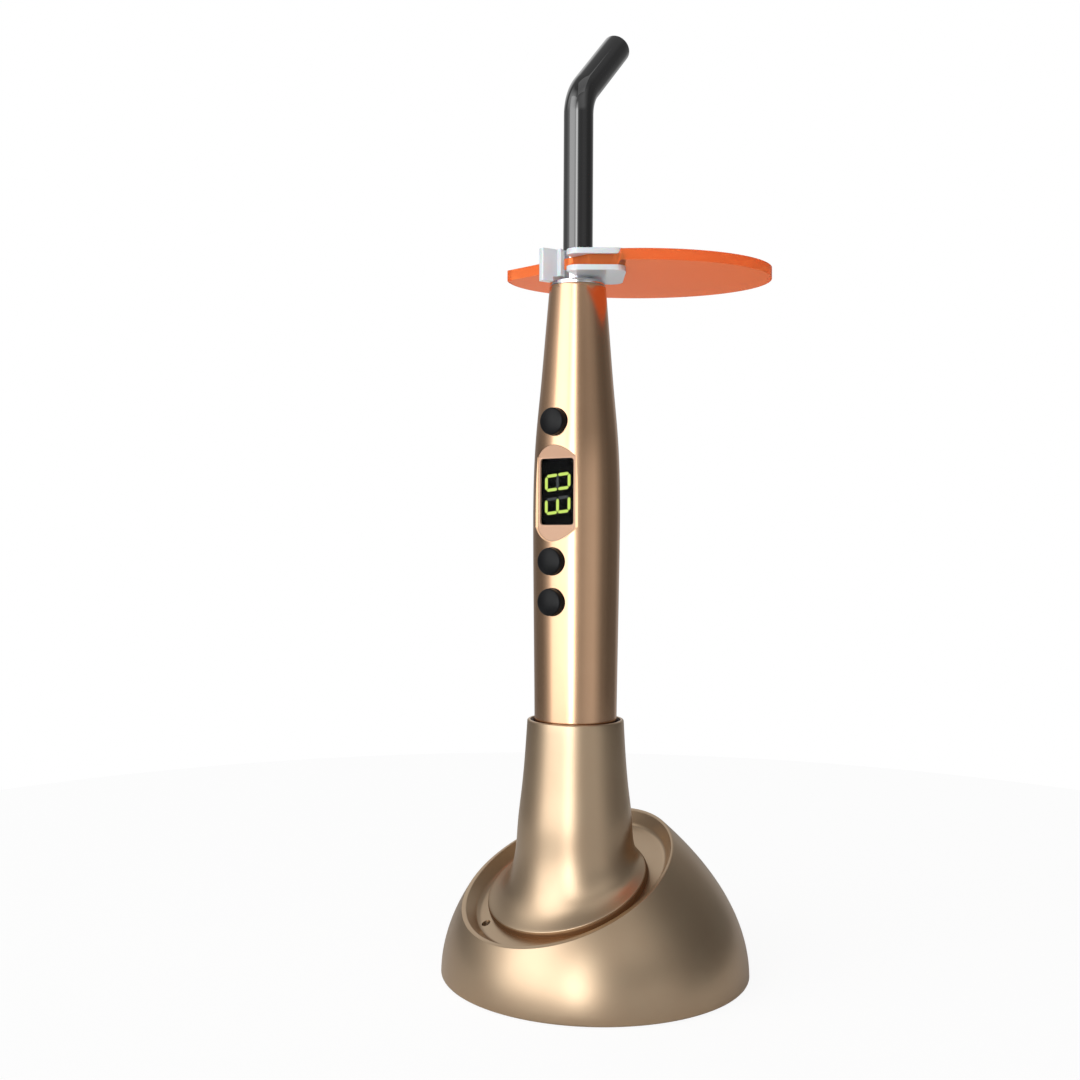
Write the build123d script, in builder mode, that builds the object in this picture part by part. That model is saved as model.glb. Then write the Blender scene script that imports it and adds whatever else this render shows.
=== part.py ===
from build123d import *
from math import atan2, cos, degrees, hypot, radians, sin, sqrt, tan
import os

os.makedirs("parts", exist_ok=True)

# Cordless dental curing light standing in its charging dock, in millimetres and degrees.
# The origin is on the table, under the axis of the docked handpiece. The buttons face -Y.

# Fits that the pieces share
glue_gap = 0.05
run_gap = 0.08
air_gap = 0.3

# Dock: base stack, from the table upwards
foot_t = 1.5
foot_inset = 1.6
edge_lift = 0.3
edge_round = 0.6
cover_t = 2.0
ballast_t = 3.5
ballast_inset = 7.0
board_lift = 1.5
board_t = 1.6
block_h = 3.9

# Dock: domed shell, cut by a slanted plane and dished
dock_turn = 10.8
dock_shift = 8.0
base_r = 42.0
dome_h = 54.7
shell_wall = 2.2
crown_wall = 2.6
cut_h = 33.5
cut_tilt = 24.9
rim_w = 1.0
dish_depth = 3.4
dish_slope = 2.4
dish_round = 1.8

# Dock: flared cup
cup_mouth_r = 13.0
cup_waist_r = 14.5
cup_tube_r = 15.4
cup_top_z = 69.8
cup_waist_z = 50.4
cup_tube_z = 42.3
cup_foot_shift = 3.4
cup_foot_w = 22.8
cup_foot_u = 19.05
cup_foot_drop = 1.5
flare_front = (1.0, 0.55, 0.25, 0.08)
flare_back = (1.0, 0.38, 0.13, 0.04)
flare_rise = (0.0, 0.16, 0.39, 0.665)
liner_t = 0.6
liner_gap = 0.32
liner_drop = 0.2

# Dock: fasteners and electrics
screw_r = 1.25
screw_head_r = 2.4
screw_head_t = 1.4
screw_bite = 6.0
post_r = 3.2
post_inset = 10.9
post_bite = 0.4
cup_screw_r = 1.0
cup_screw_head_r = 1.9
cup_screw_head_t = 1.5
cup_screw_bite = 4.5
cup_screw_spread = 14.8
cup_boss_r = 3.0
cup_boss_h = 3.6
standoff_r = 2.2
standoff_back_u = 22.0
standoff_front_u = -18.0
board_r = 14.0
board_tongue_w = 16.0
board_lobe_r = 4.0
jack_w = 9.0
jack_h = 9.0
jack_len = 11.0
jack_nose_r = 4.0
jack_bore_r = 3.1
jack_pin_r = 1.0
jack_inset = 6.0
jack_pocket_r = 5.0
light_u = -29.1
light_w = -12.2
light_r = 1.1
led_size = 2.0
led_h = 0.9
pin_spread = 6.0
pin_r = 0.8
pin_tip_round = 0.35
pin_proud = 1.2
pin_sleeve_t = 0.32
pin_spring_h = 1.7
sleeve_floor = 0.4

# Handpiece: barrel
cap_h = 10.0
tail_r = 10.8
grip_r = 11.13
belly_r = 11.66
knee_r = 11.05
shoulder_r = 10.0
neck_r = 8.7
nose_r = 7.6
grip_drop = 23.0
belly_rise = 17.0
knee_back = 40.3
shoulder_back = 28.8
neck_back = 13.3
bore_r = 9.8
cone_start_r = 8.9
cone_end_r = 6.35
seat_r = 5.9
seat_h = 6.0

# Handpiece: tail and battery
cap_floor = 3.5
cap_spigot_h = 5.0
cap_wall = 1.6
tail_recess_r = 8.5
tail_edge = 0.4
ring_in_r = 4.8
ring_out_r = 7.2
centre_contact_r = 2.2
contact_t = 0.8
seal_r = 0.36
battery_r = 9.2
battery_len = 65.0
battery_edge = 0.6
spring_out_r = 5.0
spring_wall = 1.0
spring_len = 11.8
battery_plate_r = 6.0
battery_plate_t = 0.5

# Handpiece: display and buttons
bezel_w = 11.8
bezel_front = 9.6
bezel_t = 1.6
ramp_tilt = 27.0
ramp_out = 5.0
flat_low = 0.5
flat_high = 0.3
window_rise = 33.8
window_w = 10.6
window_len = 17.6
window_round = 0.9
window_t = 0.4
digit_len = 8.0
digit_w = 4.5
digit_pitch = 6.15
digit_stroke = 0.78
digit_gap = 0.16
digit_lean = 6.0
digit_t = 0.15
digits_rise = 33.3
pcb_front = 5.2
pcb_t = 1.2
pcb_w = 15.8
pcb_top_w = 12.4
pcb_gap = 0.7
pcb_len = 57.0
pcb_step = 11.0
button_rise = {"mode_button": 4.7, "time_button": 15.4, "start_button": 52.2}
button_barrel_r = {"mode_button": 11.6, "time_button": 11.65, "start_button": 10.85}
button_r = 3.6
button_hole_gap = 0.15
button_proud = 2.5
button_dome = 0.9
button_edge = 0.6
button_flange_r = 4.0
button_flange_t = 0.7
button_flange_front = 8.4
button_stem_r = 1.4
button_travel = 0.6
switch_w = 6.0
switch_t = 1.5
switch_gap = 0.1
chassis_wall = 1.2
chassis_floor = 1.5
buzzer_r = 4.5
buzzer_t = 3.5
buzzer_rise = 21.0

# Handpiece: light engine
sink_gap = 2.0
sink_len = 19.0
sink_hole_r = 1.5
emitter_r = 6.3
emitter_t = 1.4
emitter_dome_r = 1.8
emitter_gap = 0.1
collar_r = 7.5
collar_h = 1.2
collar_edge = 0.35
spigot_len = 8.0
spigot_lip = 0.8
spigot_lip_r = 4.0
lens_h = 4.0

# Light guide
guide_r = 4.0
guide_bend = 45.0
guide_bend_r = 12.0
guide_rise = 51.4
guide_tip_len = 27.3
guide_edge = 0.4
guide_seat = 2.8
ferrule_r = 4.75
ferrule_edge = 0.3
ring_seal_r = 0.24

# Anti-glare shield
shield_turn = 35.0
clip_gap = 0.8
clip_h = 7.2
clip_r = 7.2
clip_mouth_w = 3.6
clip_mouth_turn = -116.0
clip_flange_t = 1.4
clip_lip_t = 1.5
clip_flange_x = 15.6
clip_flange_y = 19.0
clip_flange_at = (4.5, -3.7)
clip_flange_round = 3.0
clip_tab_turn = -150.0
clip_tab_r = 11.6
clip_tab_t = 2.0
clip_tab_skirt_r = 8.1
clip_tab_skirt = 1.4
plate_t = 2.9
plate_len = 72.8
plate_w = 52.0
plate_at = (17.0, 6.7)
plate_chord = 7.1
plate_chord_turn = -133.8
plate_step_x = 10.0
plate_step_y = -12.2
plate_round = 1.6

# Heights and radii that follow from the sizes above
cover_z = foot_t
ballast_z = cover_z + cover_t
board_z = ballast_z + ballast_t + board_lift
board_top_z = board_z + board_t
tail_z = board_top_z + block_h
pcb_start_at = cap_floor + spring_len + battery_len + battery_plate_t + chassis_floor + pcb_gap
pcb_end_at = pcb_start_at + pcb_len
pcb_step_at = pcb_end_at - pcb_step
bore_end_at = pcb_step_at + sink_gap
cone_start_at = pcb_end_at + sink_gap / 2
sink_start_at = pcb_end_at + sink_gap
sink_end_at = sink_start_at + sink_len
handpiece_len = sink_end_at + emitter_t + emitter_dome_r + emitter_gap + spigot_len
grip_at = pcb_start_at - grip_drop
belly_at = pcb_start_at + belly_rise
knee_at = handpiece_len - knee_back
shoulder_at = handpiece_len - shoulder_back
neck_at = handpiece_len - neck_back
button_at = {button: pcb_start_at + rise for button, rise in button_rise.items()}
cap_top_z = tail_z + cap_h
nose_z = tail_z + handpiece_len
collar_top_z = nose_z + collar_h
guide_corner_z = nose_z + guide_rise
clip_z = collar_top_z + clip_gap
plate_z = clip_z + clip_flange_t
ferrule_top_z = clip_z + clip_h + run_gap
liner_in_r = grip_r + liner_gap
liner_out_r = liner_in_r + liner_t
cup_bore_r = liner_out_r + run_gap
tilt_rise = tan(radians(cut_tilt))
jack_face_u = base_r - jack_inset
board_tongue_u = jack_face_u - shell_wall - air_gap


def dock_point(w, u, z):
    """A point of the dock: w across it, u towards its high back, z above the table."""
    turn = radians(dock_turn)
    across = w * cos(turn) + (u + dock_shift) * sin(turn)
    along = -w * sin(turn) + (u + dock_shift) * cos(turn)
    return Vector(across, along, z)


def dock_way(w, u, z):
    """A direction in the dock's own frame."""
    return dock_point(w, u, z) - dock_point(0, 0, 0)


def dock_plane(w, u, z, tilt=0.0):
    """A plane across the dock, level or tipped back to front."""
    lean = radians(tilt)
    normal = dock_way(0, -sin(lean), cos(lean))
    return Plane(origin=dock_point(w, u, z), x_dir=dock_way(1, 0, 0), z_dir=normal)


def rim_height(u):
    """Height of the slanted cut over the table."""
    return cut_h + tilt_rise * u


def dome_radius(z):
    """Outer radius of the dome at a height: its side is a parabola."""
    return base_r * (1 - (z / dome_h) ** 2)


def rim_reach(side):
    """Where the slanted cut meets the dome, behind (1) or in front (-1) of its axis."""
    square = base_r * tilt_rise**2 / dome_h**2
    linear = side + 2 * base_r * cut_h * tilt_rise / dome_h**2
    constant = base_r * (cut_h**2 / dome_h**2 - 1)
    return (-linear + side * sqrt(linear**2 - 4 * square * constant)) / (2 * square)


rim_back_u = rim_reach(1)
rim_front_u = rim_reach(-1)
rim_mid_u = (rim_back_u + rim_front_u) / 2
rim_half_u = (rim_back_u - rim_front_u) / 2 / cos(radians(cut_tilt))
rim_half_w = sqrt(dome_radius(rim_height(rim_mid_u)) ** 2 - rim_mid_u**2)
rim_plane = dock_plane(0, rim_mid_u, rim_height(rim_mid_u), cut_tilt)
deck_t = shell_wall / cos(radians(cut_tilt))
dish_drop = dish_depth / cos(radians(cut_tilt))
dome_axis = Axis(dock_point(0, 0, 0), (0, 0, 1))
dome_section = Plane(
    origin=dock_point(0, 0, 0), x_dir=dock_way(1, 0, 0), z_dir=dock_way(0, -1, 0)
)
inner_r = base_r - shell_wall
inner_h = dome_h - crown_wall
cover_r = inner_r * (1 - (ballast_z / inner_h) ** 2) - air_gap
post_spread = (base_r - post_inset) / sqrt(2)
post_reach = base_r - post_inset + post_r - post_bite
post_back_top = inner_h * sqrt(1 - post_reach / inner_r)
post_places = [(w, u) for w in (-post_spread, post_spread) for u in (-post_spread, post_spread)]
standoff_places = [
    (-board_tongue_w / 4, standoff_back_u),
    (board_tongue_w / 4, standoff_back_u),
    (0, standoff_front_u),
]


def deck_under(u):
    """Height of the underside of the dish's floor."""
    return rim_height(u) - dish_drop - deck_t


# Foot pad: one rubber disc under the whole base
with BuildPart() as foot_pad:
    with BuildSketch(dock_plane(0, 0, 0)):
        Circle(cover_r - foot_inset)
        with Locations(post_places):
            Circle(screw_head_r + air_gap, mode=Mode.SUBTRACT)
    extrude(amount=foot_t)
foot_pad.part.label = "foot_pad"
export_step(foot_pad.part, "parts/foot_pad.step")

# Bottom cover, with the standoffs that carry the charging board
with BuildPart() as bottom_cover:
    with BuildSketch(dock_plane(0, 0, cover_z)):
        Circle(cover_r)
        with Locations(post_places):
            Circle(screw_r + glue_gap, mode=Mode.SUBTRACT)
    extrude(amount=cover_t)
    with BuildSketch(dock_plane(0, 0, ballast_z)):
        with Locations(standoff_places):
            Circle(standoff_r)
    extrude(amount=board_z - ballast_z)
bottom_cover.part.label = "bottom_cover"
export_step(bottom_cover.part, "parts/bottom_cover.step")

# Steel ballast plate, pierced for the screw posts and the standoffs
with BuildPart() as ballast:
    with BuildSketch(dock_plane(0, 0, ballast_z)):
        Circle(base_r - ballast_inset)
        with Locations(post_places):
            Circle(post_r + air_gap, mode=Mode.SUBTRACT)
        with Locations(standoff_places):
            Circle(standoff_r + air_gap, mode=Mode.SUBTRACT)
    extrude(amount=ballast_t)
ballast.part.label = "ballast"
export_step(ballast.part, "parts/ballast.step")

# Space inside the dome, under the dish
with BuildPart() as dome_space:
    with BuildSketch(dome_section):
        with BuildLine():
            Bezier((inner_r, 0), (inner_r, inner_h / 2), (0, inner_h))
            Line((0, inner_h), (0, 0))
            Line((0, 0), (inner_r, 0))
        make_face()
    revolve(axis=dome_axis)
    split(bisect_by=dock_plane(0, 0, deck_under(0), cut_tilt), keep=Keep.BOTTOM)

# Domed shell with its dish, screw posts, and openings for the cup, jack and light
jack_z = board_top_z + jack_h / 2
jack_front = Plane(
    origin=dock_point(0, jack_face_u, jack_z), x_dir=dock_way(-1, 0, 0), z_dir=dock_way(0, 1, 0)
)
with BuildPart() as dock_shell:
    with BuildSketch(dome_section):
        with BuildLine():
            Bezier((base_r, 0), (base_r, dome_h / 2), (0, dome_h))
            Line((0, dome_h), (0, 0))
            Line((0, 0), (base_r, 0))
        make_face()
    revolve(axis=dome_axis)
    split(bisect_by=rim_plane, keep=Keep.BOTTOM)
    split(bisect_by=Plane.XY.offset(edge_lift), keep=Keep.TOP)
    fillet(dock_shell.edges().sort_by(Axis.Z)[0], edge_round)
    add(dome_space.part, mode=Mode.SUBTRACT)
    with BuildSketch(rim_plane):
        Ellipse(rim_half_w - rim_w, rim_half_u - rim_w)
    with BuildSketch(rim_plane.offset(-dish_depth)):
        Ellipse(rim_half_w - rim_w - dish_slope, rim_half_u - rim_w - dish_slope)
    loft(mode=Mode.SUBTRACT, ruled=True)
    fillet(
        dock_shell.edges().filter_by(GeomType.ELLIPSE).sort_by(Axis.Z)[-2:-1], dish_round
    )
    for place_w, place_u in post_places:
        post_top = post_back_top if place_u > 0 else deck_under(place_u) + deck_t / 2
        with BuildSketch(dock_plane(place_w, place_u, ballast_z)):
            Circle(post_r)
        extrude(amount=post_top - ballast_z)
        with BuildSketch(dock_plane(place_w, place_u, ballast_z)):
            Circle(screw_r)
        extrude(amount=screw_bite, mode=Mode.SUBTRACT)
    for side in (-1, 1):
        screw_w = side * cup_screw_spread
        boss_z = deck_under(-dock_shift) - cup_boss_h
        with BuildSketch(dock_plane(screw_w, -dock_shift, boss_z)):
            Circle(cup_boss_r)
        extrude(amount=cup_boss_h + deck_t / 2)
        with BuildSketch(dock_plane(screw_w, -dock_shift, boss_z)):
            Circle(cup_screw_r + glue_gap)
        extrude(amount=cup_boss_h + 2 * deck_t + dish_depth, mode=Mode.SUBTRACT)
    with BuildSketch(dock_plane(0, -dock_shift, board_top_z)):
        Circle(liner_out_r + air_gap)
    extrude(amount=dome_h, mode=Mode.SUBTRACT)
    with BuildSketch(dock_plane(light_w, light_u, board_top_z)):
        Circle(light_r + glue_gap)
    extrude(amount=dome_h, mode=Mode.SUBTRACT)
    with BuildSketch(jack_front):
        Circle(jack_pocket_r + shell_wall)
    extrude(amount=-shell_wall)
    with BuildSketch(jack_front):
        Circle(jack_pocket_r)
    extrude(amount=base_r - jack_face_u + shell_wall, mode=Mode.SUBTRACT)
    with BuildSketch(jack_front):
        Circle(jack_nose_r + glue_gap)
    extrude(amount=-shell_wall, mode=Mode.SUBTRACT)
dock_shell.part.label = "dock_shell"
export_step(dock_shell.part, "parts/dock_shell.step")

# Flared cup: oval foot in the dish, round tube above, one straight bore
foot_low = cup_foot_u + cup_foot_shift
foot_high = cup_foot_u - cup_foot_shift
foot_drop = cup_foot_drop / cos(radians(cut_tilt))
foot_low_z = rim_height(-dock_shift - foot_low) - foot_drop
foot_high_z = rim_height(-dock_shift + foot_high) - foot_drop
with BuildPart() as cup:
    for front, back, rise in zip(flare_front, flare_back, flare_rise):
        low = cup_tube_r + front * (foot_low - cup_tube_r)
        high = cup_tube_r + back * (foot_high - cup_tube_r)
        across = cup_tube_r + (front + back) / 2 * (cup_foot_w - cup_tube_r)
        low_z = foot_low_z + rise * (cup_tube_z - foot_low_z)
        high_z = foot_high_z + rise * (cup_tube_z - foot_high_z)
        tilt = atan2(high_z - low_z, high + low)
        level = dock_plane(0, -dock_shift + (high - low) / 2, (high_z + low_z) / 2, degrees(tilt))
        with BuildSketch(level):
            Ellipse(across, (high + low) / 2 / cos(tilt))
    with BuildSketch(dock_plane(0, -dock_shift, cup_tube_z)):
        Circle(cup_tube_r)
    loft()
    foot_face = cup.faces().filter_by(GeomType.PLANE).sort_by(Axis.Z)[0]
    extrude(foot_face, amount=dish_depth - cup_foot_drop)
    for round_z, round_r in (
        (cup_tube_z, cup_tube_r),
        (cup_waist_z, cup_waist_r),
        (cup_top_z, cup_mouth_r),
    ):
        with BuildSketch(dock_plane(0, -dock_shift, round_z)):
            Circle(round_r)
    loft()
    with BuildSketch(Plane.XY):
        Circle(cup_bore_r)
    extrude(amount=cup_top_z + cup_foot_u, mode=Mode.SUBTRACT)
    for side in (-1, 1):
        with BuildSketch(dock_plane(side * cup_screw_spread, -dock_shift, 0)):
            Circle(cup_screw_r)
        screw_floor = rim_height(-dock_shift) - dish_drop
        extrude(amount=screw_floor + cup_screw_bite, mode=Mode.SUBTRACT)
cup.part.label = "cup"
export_step(cup.part, "parts/cup.step")

# Soft liner tube that guides the handpiece, seen as a dark ring at the mouth
with BuildPart() as cup_liner:
    with BuildSketch(Plane.XY.offset(board_top_z + air_gap)):
        Circle(liner_out_r)
        Circle(liner_in_r, mode=Mode.SUBTRACT)
    extrude(amount=cup_top_z - liner_drop - board_top_z - air_gap)
cup_liner.part.label = "cup_liner"
export_step(cup_liner.part, "parts/cup_liner.step")

# Screws of the bottom cover
with BuildPart() as cover_screws:
    with BuildSketch(dock_plane(0, 0, cover_z - screw_head_t)):
        with Locations(post_places):
            Circle(screw_head_r)
    extrude(amount=screw_head_t)
    with BuildSketch(dock_plane(0, 0, cover_z)):
        with Locations(post_places):
            Circle(screw_r)
    extrude(amount=cover_t + screw_bite)
cover_screws.part.label = "cover_screws"
export_step(cover_screws.part, "parts/cover_screws.step")

# Screws that hold the cup from under the dish
cup_screw_z = deck_under(-dock_shift) - cup_boss_h
with BuildPart() as cup_screws:
    with BuildSketch(dock_plane(0, -dock_shift, cup_screw_z - cup_screw_head_t)):
        with Locations((-cup_screw_spread, 0), (cup_screw_spread, 0)):
            Circle(cup_screw_head_r)
    extrude(amount=cup_screw_head_t)
    with BuildSketch(dock_plane(0, -dock_shift, cup_screw_z)):
        with Locations((-cup_screw_spread, 0), (cup_screw_spread, 0)):
            Circle(cup_screw_r)
    extrude(amount=rim_height(-dock_shift) - dish_drop + cup_screw_bite - cup_screw_z)
cup_screws.part.label = "cup_screws"
export_step(cup_screws.part, "parts/cup_screws.step")

# Charging board: round under the cup, with a tongue to the jack and an arm to the light
arm_len = hypot(light_w, light_u + dock_shift)
arm_turn = degrees(atan2(light_u + dock_shift, light_w))
with BuildPart() as dock_board:
    with BuildSketch(dock_plane(0, 0, board_z)):
        with Locations((0, -dock_shift)):
            Circle(board_r)
        with Locations((0, (board_tongue_u - dock_shift) / 2)):
            Rectangle(board_tongue_w, board_tongue_u + dock_shift)
        with Locations((light_w / 2, (light_u - dock_shift) / 2)):
            Rectangle(arm_len, 2 * board_lobe_r, rotation=arm_turn)
        with Locations((light_w, light_u)):
            Circle(board_lobe_r)
    extrude(amount=board_t)
dock_board.part.label = "dock_board"
export_step(dock_board.part, "parts/dock_board.step")

# Charging light: a chip on the board and a clear pipe up to the dish
with BuildPart() as charge_led:
    with BuildSketch(dock_plane(light_w, light_u, board_top_z)):
        Rectangle(led_size, led_size)
    extrude(amount=led_h)
charge_led.part.label = "charge_led"
export_step(charge_led.part, "parts/charge_led.step")

dish_floor_z = rim_height(light_u) - dish_drop
with BuildPart() as light_pipe:
    with BuildSketch(dock_plane(light_w, light_u, board_top_z + led_h)):
        Circle(light_r)
    extrude(amount=dish_floor_z - glue_gap * 2 - light_r - board_top_z - led_h)
light_pipe.part.label = "light_pipe"
export_step(light_pipe.part, "parts/light_pipe.step")

# Power jack: moulded block with a round nose, and its centre pin
with BuildPart() as dc_jack:
    with BuildSketch(jack_front.offset(-shell_wall - glue_gap)):
        Rectangle(jack_w, jack_h)
    extrude(amount=-jack_len)
    with BuildSketch(jack_front):
        Circle(jack_nose_r)
    extrude(amount=-shell_wall - glue_gap)
    with BuildSketch(jack_front):
        Circle(jack_bore_r)
    extrude(amount=-jack_len + shell_wall, mode=Mode.SUBTRACT)
dc_jack.part.label = "dc_jack"
export_step(dc_jack.part, "parts/dc_jack.step")

with BuildPart() as jack_pin:
    with BuildSketch(jack_front.offset(-jack_len + shell_wall)):
        Circle(jack_pin_r)
    extrude(amount=jack_len - shell_wall - jack_pin_r)
jack_pin.part.label = "jack_pin"
export_step(jack_pin.part, "parts/jack_pin.step")

# Contact block under the handpiece's tail, with two sleeves for the sprung pins
pin_places = {"centre_pin": (0, 0), "ring_pin": (0, pin_spread)}
sleeve_r = pin_r + run_gap + pin_sleeve_t
with BuildPart() as contact_block:
    with BuildSketch(Plane.XY.offset(board_top_z)):
        Circle(tail_r - air_gap)
        with Locations(list(pin_places.values())):
            Circle(sleeve_r, mode=Mode.SUBTRACT)
    extrude(amount=block_h)
contact_block.part.label = "contact_block"
export_step(contact_block.part, "parts/contact_block.step")

with BuildPart() as pin_sleeves:
    with BuildSketch(Plane.XY.offset(board_top_z)):
        with Locations(list(pin_places.values())):
            Circle(sleeve_r)
    extrude(amount=block_h)
    with BuildSketch(Plane.XY.offset(board_top_z + sleeve_floor)):
        with Locations(list(pin_places.values())):
            Circle(pin_r + run_gap)
    extrude(amount=block_h, mode=Mode.SUBTRACT)
pin_sleeves.part.label = "pin_sleeves"
export_step(pin_sleeves.part, "parts/pin_sleeves.step")

spring_z = board_top_z + sleeve_floor
for pin_name, pin_place in pin_places.items():
    with BuildPart() as contact_pin:
        with BuildSketch(Plane.XY.offset(spring_z + pin_spring_h)):
            with Locations(pin_place):
                Circle(pin_r)
        extrude(amount=tail_z + pin_proud - spring_z - pin_spring_h)
        fillet(contact_pin.edges().sort_by(Axis.Z)[-1], pin_tip_round)
    contact_pin.part.label = pin_name
    export_step(contact_pin.part, f"parts/{pin_name}.step")

    with BuildPart() as pin_spring:
        with BuildSketch(Plane.XY.offset(spring_z)):
            with Locations(pin_place):
                Circle(pin_r)
                Circle(pin_r - pin_sleeve_t, mode=Mode.SUBTRACT)
        extrude(amount=pin_spring_h)
    pin_spring.part.label = f"{pin_name}_spring"
    export_step(pin_spring.part, f"parts/{pin_name}_spring.step")

# Display panel: where its flat and its lobes lie
window_z = tail_z + pcb_start_at + window_rise
flat_low_z = window_z - window_len / 2 - flat_low
flat_high_z = window_z + window_len / 2 + flat_high
ramp_slope = tan(radians(ramp_tilt))


def lobe(side, end, grow=0.0):
    """Half an end of the panel's outline, from its flat to its tip: side and end are -1 or 1."""
    flat_z = flat_high_z if end > 0 else flat_low_z
    skin_r = (knee_r + belly_r) / 2 if end > 0 else belly_r
    run = (skin_r - bezel_front) / ramp_slope - 4 * glue_gap + grow
    half = bezel_w / 2 + grow
    return (
        (side * half, flat_z),
        (side * half * 0.93, flat_z + end * run * 0.42),
        (side * half * 0.4, flat_z + end * run),
        (0, flat_z + end * run),
    )


# Room in front of the display panel: a flat, with a ramp at each end out to the barrel's skin
with BuildPart() as panel_room:
    with BuildSketch(Plane.YZ):
        with BuildLine():
            Polyline(
                (-bezel_front, flat_low_z),
                (-bezel_front, flat_high_z),
                (-bezel_front - ramp_out, flat_high_z + ramp_out / ramp_slope),
                (-bezel_front - ramp_out, flat_low_z - ramp_out / ramp_slope),
                close=True,
            )
        make_face()
    extrude(amount=base_r / 2, both=True)

# Handpiece barrel: slim grip, soft shoulder and a straight cone to the nose
with BuildPart() as barrel:
    with BuildSketch(Plane.XZ):
        with BuildLine():
            Spline(
                (tail_r, cap_top_z),
                (grip_r, tail_z + grip_at),
                (belly_r, tail_z + belly_at),
                (knee_r, tail_z + knee_at),
                (shoulder_r, tail_z + shoulder_at),
                (neck_r, tail_z + neck_at),
                (nose_r, nose_z),
            )
            Line((nose_r, nose_z), (seat_r, nose_z))
            Line((seat_r, nose_z), (seat_r, nose_z - seat_h))
            Line((seat_r, nose_z - seat_h), (cone_end_r, nose_z - seat_h))
            Line((cone_end_r, nose_z - seat_h), (cone_start_r, tail_z + cone_start_at))
            Line((cone_start_r, tail_z + cone_start_at), (bore_r, tail_z + bore_end_at))
            Line((bore_r, tail_z + bore_end_at), (bore_r, cap_top_z))
            Line((bore_r, cap_top_z), (tail_r, cap_top_z))
        make_face()
    revolve(axis=Axis.Z)
    add(panel_room.part, mode=Mode.SUBTRACT)
    with BuildSketch(Plane.XZ):
        with BuildLine():
            Bezier(*lobe(1, -1, glue_gap))
            Bezier(*lobe(-1, -1, glue_gap)[::-1])
            Line(lobe(-1, -1, glue_gap)[0], lobe(-1, 1, glue_gap)[0])
            Bezier(*lobe(-1, 1, glue_gap))
            Bezier(*lobe(1, 1, glue_gap)[::-1])
            Line(lobe(1, 1, glue_gap)[0], lobe(1, -1, glue_gap)[0])
        make_face()
    extrude(amount=base_r, mode=Mode.SUBTRACT)
    with BuildSketch(Plane.XZ):
        with Locations([(0, tail_z + at) for at in button_at.values()]):
            Circle(button_r + button_hole_gap)
    extrude(amount=base_r, mode=Mode.SUBTRACT)
barrel.part.label = "barrel"
export_step(barrel.part, "parts/barrel.step")

# Screw cap at the tail, with a recess for the charging contacts and a seal groove
seal_z = cap_top_z + cap_spigot_h / 2
seal_mid_r = bore_r - seal_r - glue_gap
with BuildPart() as tail_cap:
    with BuildSketch(Plane.XY.offset(tail_z)):
        Circle(tail_r)
    extrude(amount=cap_h)
    with BuildSketch(Plane.XY.offset(cap_top_z)):
        Circle(bore_r - glue_gap)
    extrude(amount=cap_spigot_h)
    with BuildSketch(Plane.XY.offset(tail_z + cap_floor)):
        Circle(bore_r - cap_wall)
    extrude(amount=cap_h + cap_spigot_h, mode=Mode.SUBTRACT)
    with BuildSketch(Plane.XY.offset(tail_z)):
        Circle(tail_recess_r)
    extrude(amount=pin_proud, mode=Mode.SUBTRACT)
    with BuildSketch(Plane.XY.offset(tail_z + pin_proud)):
        Circle(ring_out_r)
        Circle(ring_in_r, mode=Mode.SUBTRACT)
        Circle(centre_contact_r)
    extrude(amount=contact_t, mode=Mode.SUBTRACT)
    with BuildSketch(Plane.XY.offset(seal_z - seal_r - glue_gap)):
        Circle(bore_r)
        Circle(seal_mid_r - seal_r - glue_gap, mode=Mode.SUBTRACT)
    extrude(amount=2 * (seal_r + glue_gap), mode=Mode.SUBTRACT)
    tail_edges = tail_cap.edges().group_by(Axis.Z)[0]
    fillet(tail_edges.sort_by(SortBy.RADIUS)[-1], tail_edge)
tail_cap.part.label = "tail_cap"
export_step(tail_cap.part, "parts/tail_cap.step")

with BuildPart() as tail_seal:
    with BuildSketch(Plane.XZ):
        with Locations((seal_mid_r, seal_z)):
            Circle(seal_r)
    revolve(axis=Axis.Z)
tail_seal.part.label = "tail_seal"
export_step(tail_seal.part, "parts/tail_seal.step")

with BuildPart() as ring_contact:
    with BuildSketch(Plane.XY.offset(tail_z + pin_proud)):
        Circle(ring_out_r - glue_gap)
        Circle(ring_in_r + glue_gap, mode=Mode.SUBTRACT)
    extrude(amount=contact_t)
ring_contact.part.label = "ring_contact"
export_step(ring_contact.part, "parts/ring_contact.step")

with BuildPart() as centre_contact:
    with BuildSketch(Plane.XY.offset(tail_z + pin_proud)):
        Circle(centre_contact_r - glue_gap)
    extrude(amount=contact_t)
centre_contact.part.label = "centre_contact"
export_step(centre_contact.part, "parts/centre_contact.step")

# Battery spring, cell and upper contact plate
battery_z = tail_z + cap_floor + spring_len
battery_top_z = battery_z + battery_len
chassis_z = battery_top_z + battery_plate_t
with BuildPart() as battery_spring:
    with BuildSketch(Plane.XY.offset(tail_z + cap_floor)):
        Circle(spring_out_r)
        Circle(spring_out_r - spring_wall, mode=Mode.SUBTRACT)
    extrude(amount=spring_len)
battery_spring.part.label = "battery_spring"
export_step(battery_spring.part, "parts/battery_spring.step")

with BuildPart() as battery_cell:
    with BuildSketch(Plane.XY.offset(battery_z)):
        Circle(battery_r)
    extrude(amount=battery_len)
    fillet(battery_cell.edges().filter_by(GeomType.CIRCLE), battery_edge)
battery_cell.part.label = "battery_cell"
export_step(battery_cell.part, "parts/battery_cell.step")

with BuildPart() as battery_plate:
    with BuildSketch(Plane.XY.offset(battery_top_z)):
        Circle(battery_plate_r)
    extrude(amount=battery_plate_t)
battery_plate.part.label = "battery_plate"
export_step(battery_plate.part, "parts/battery_plate.step")

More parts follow.
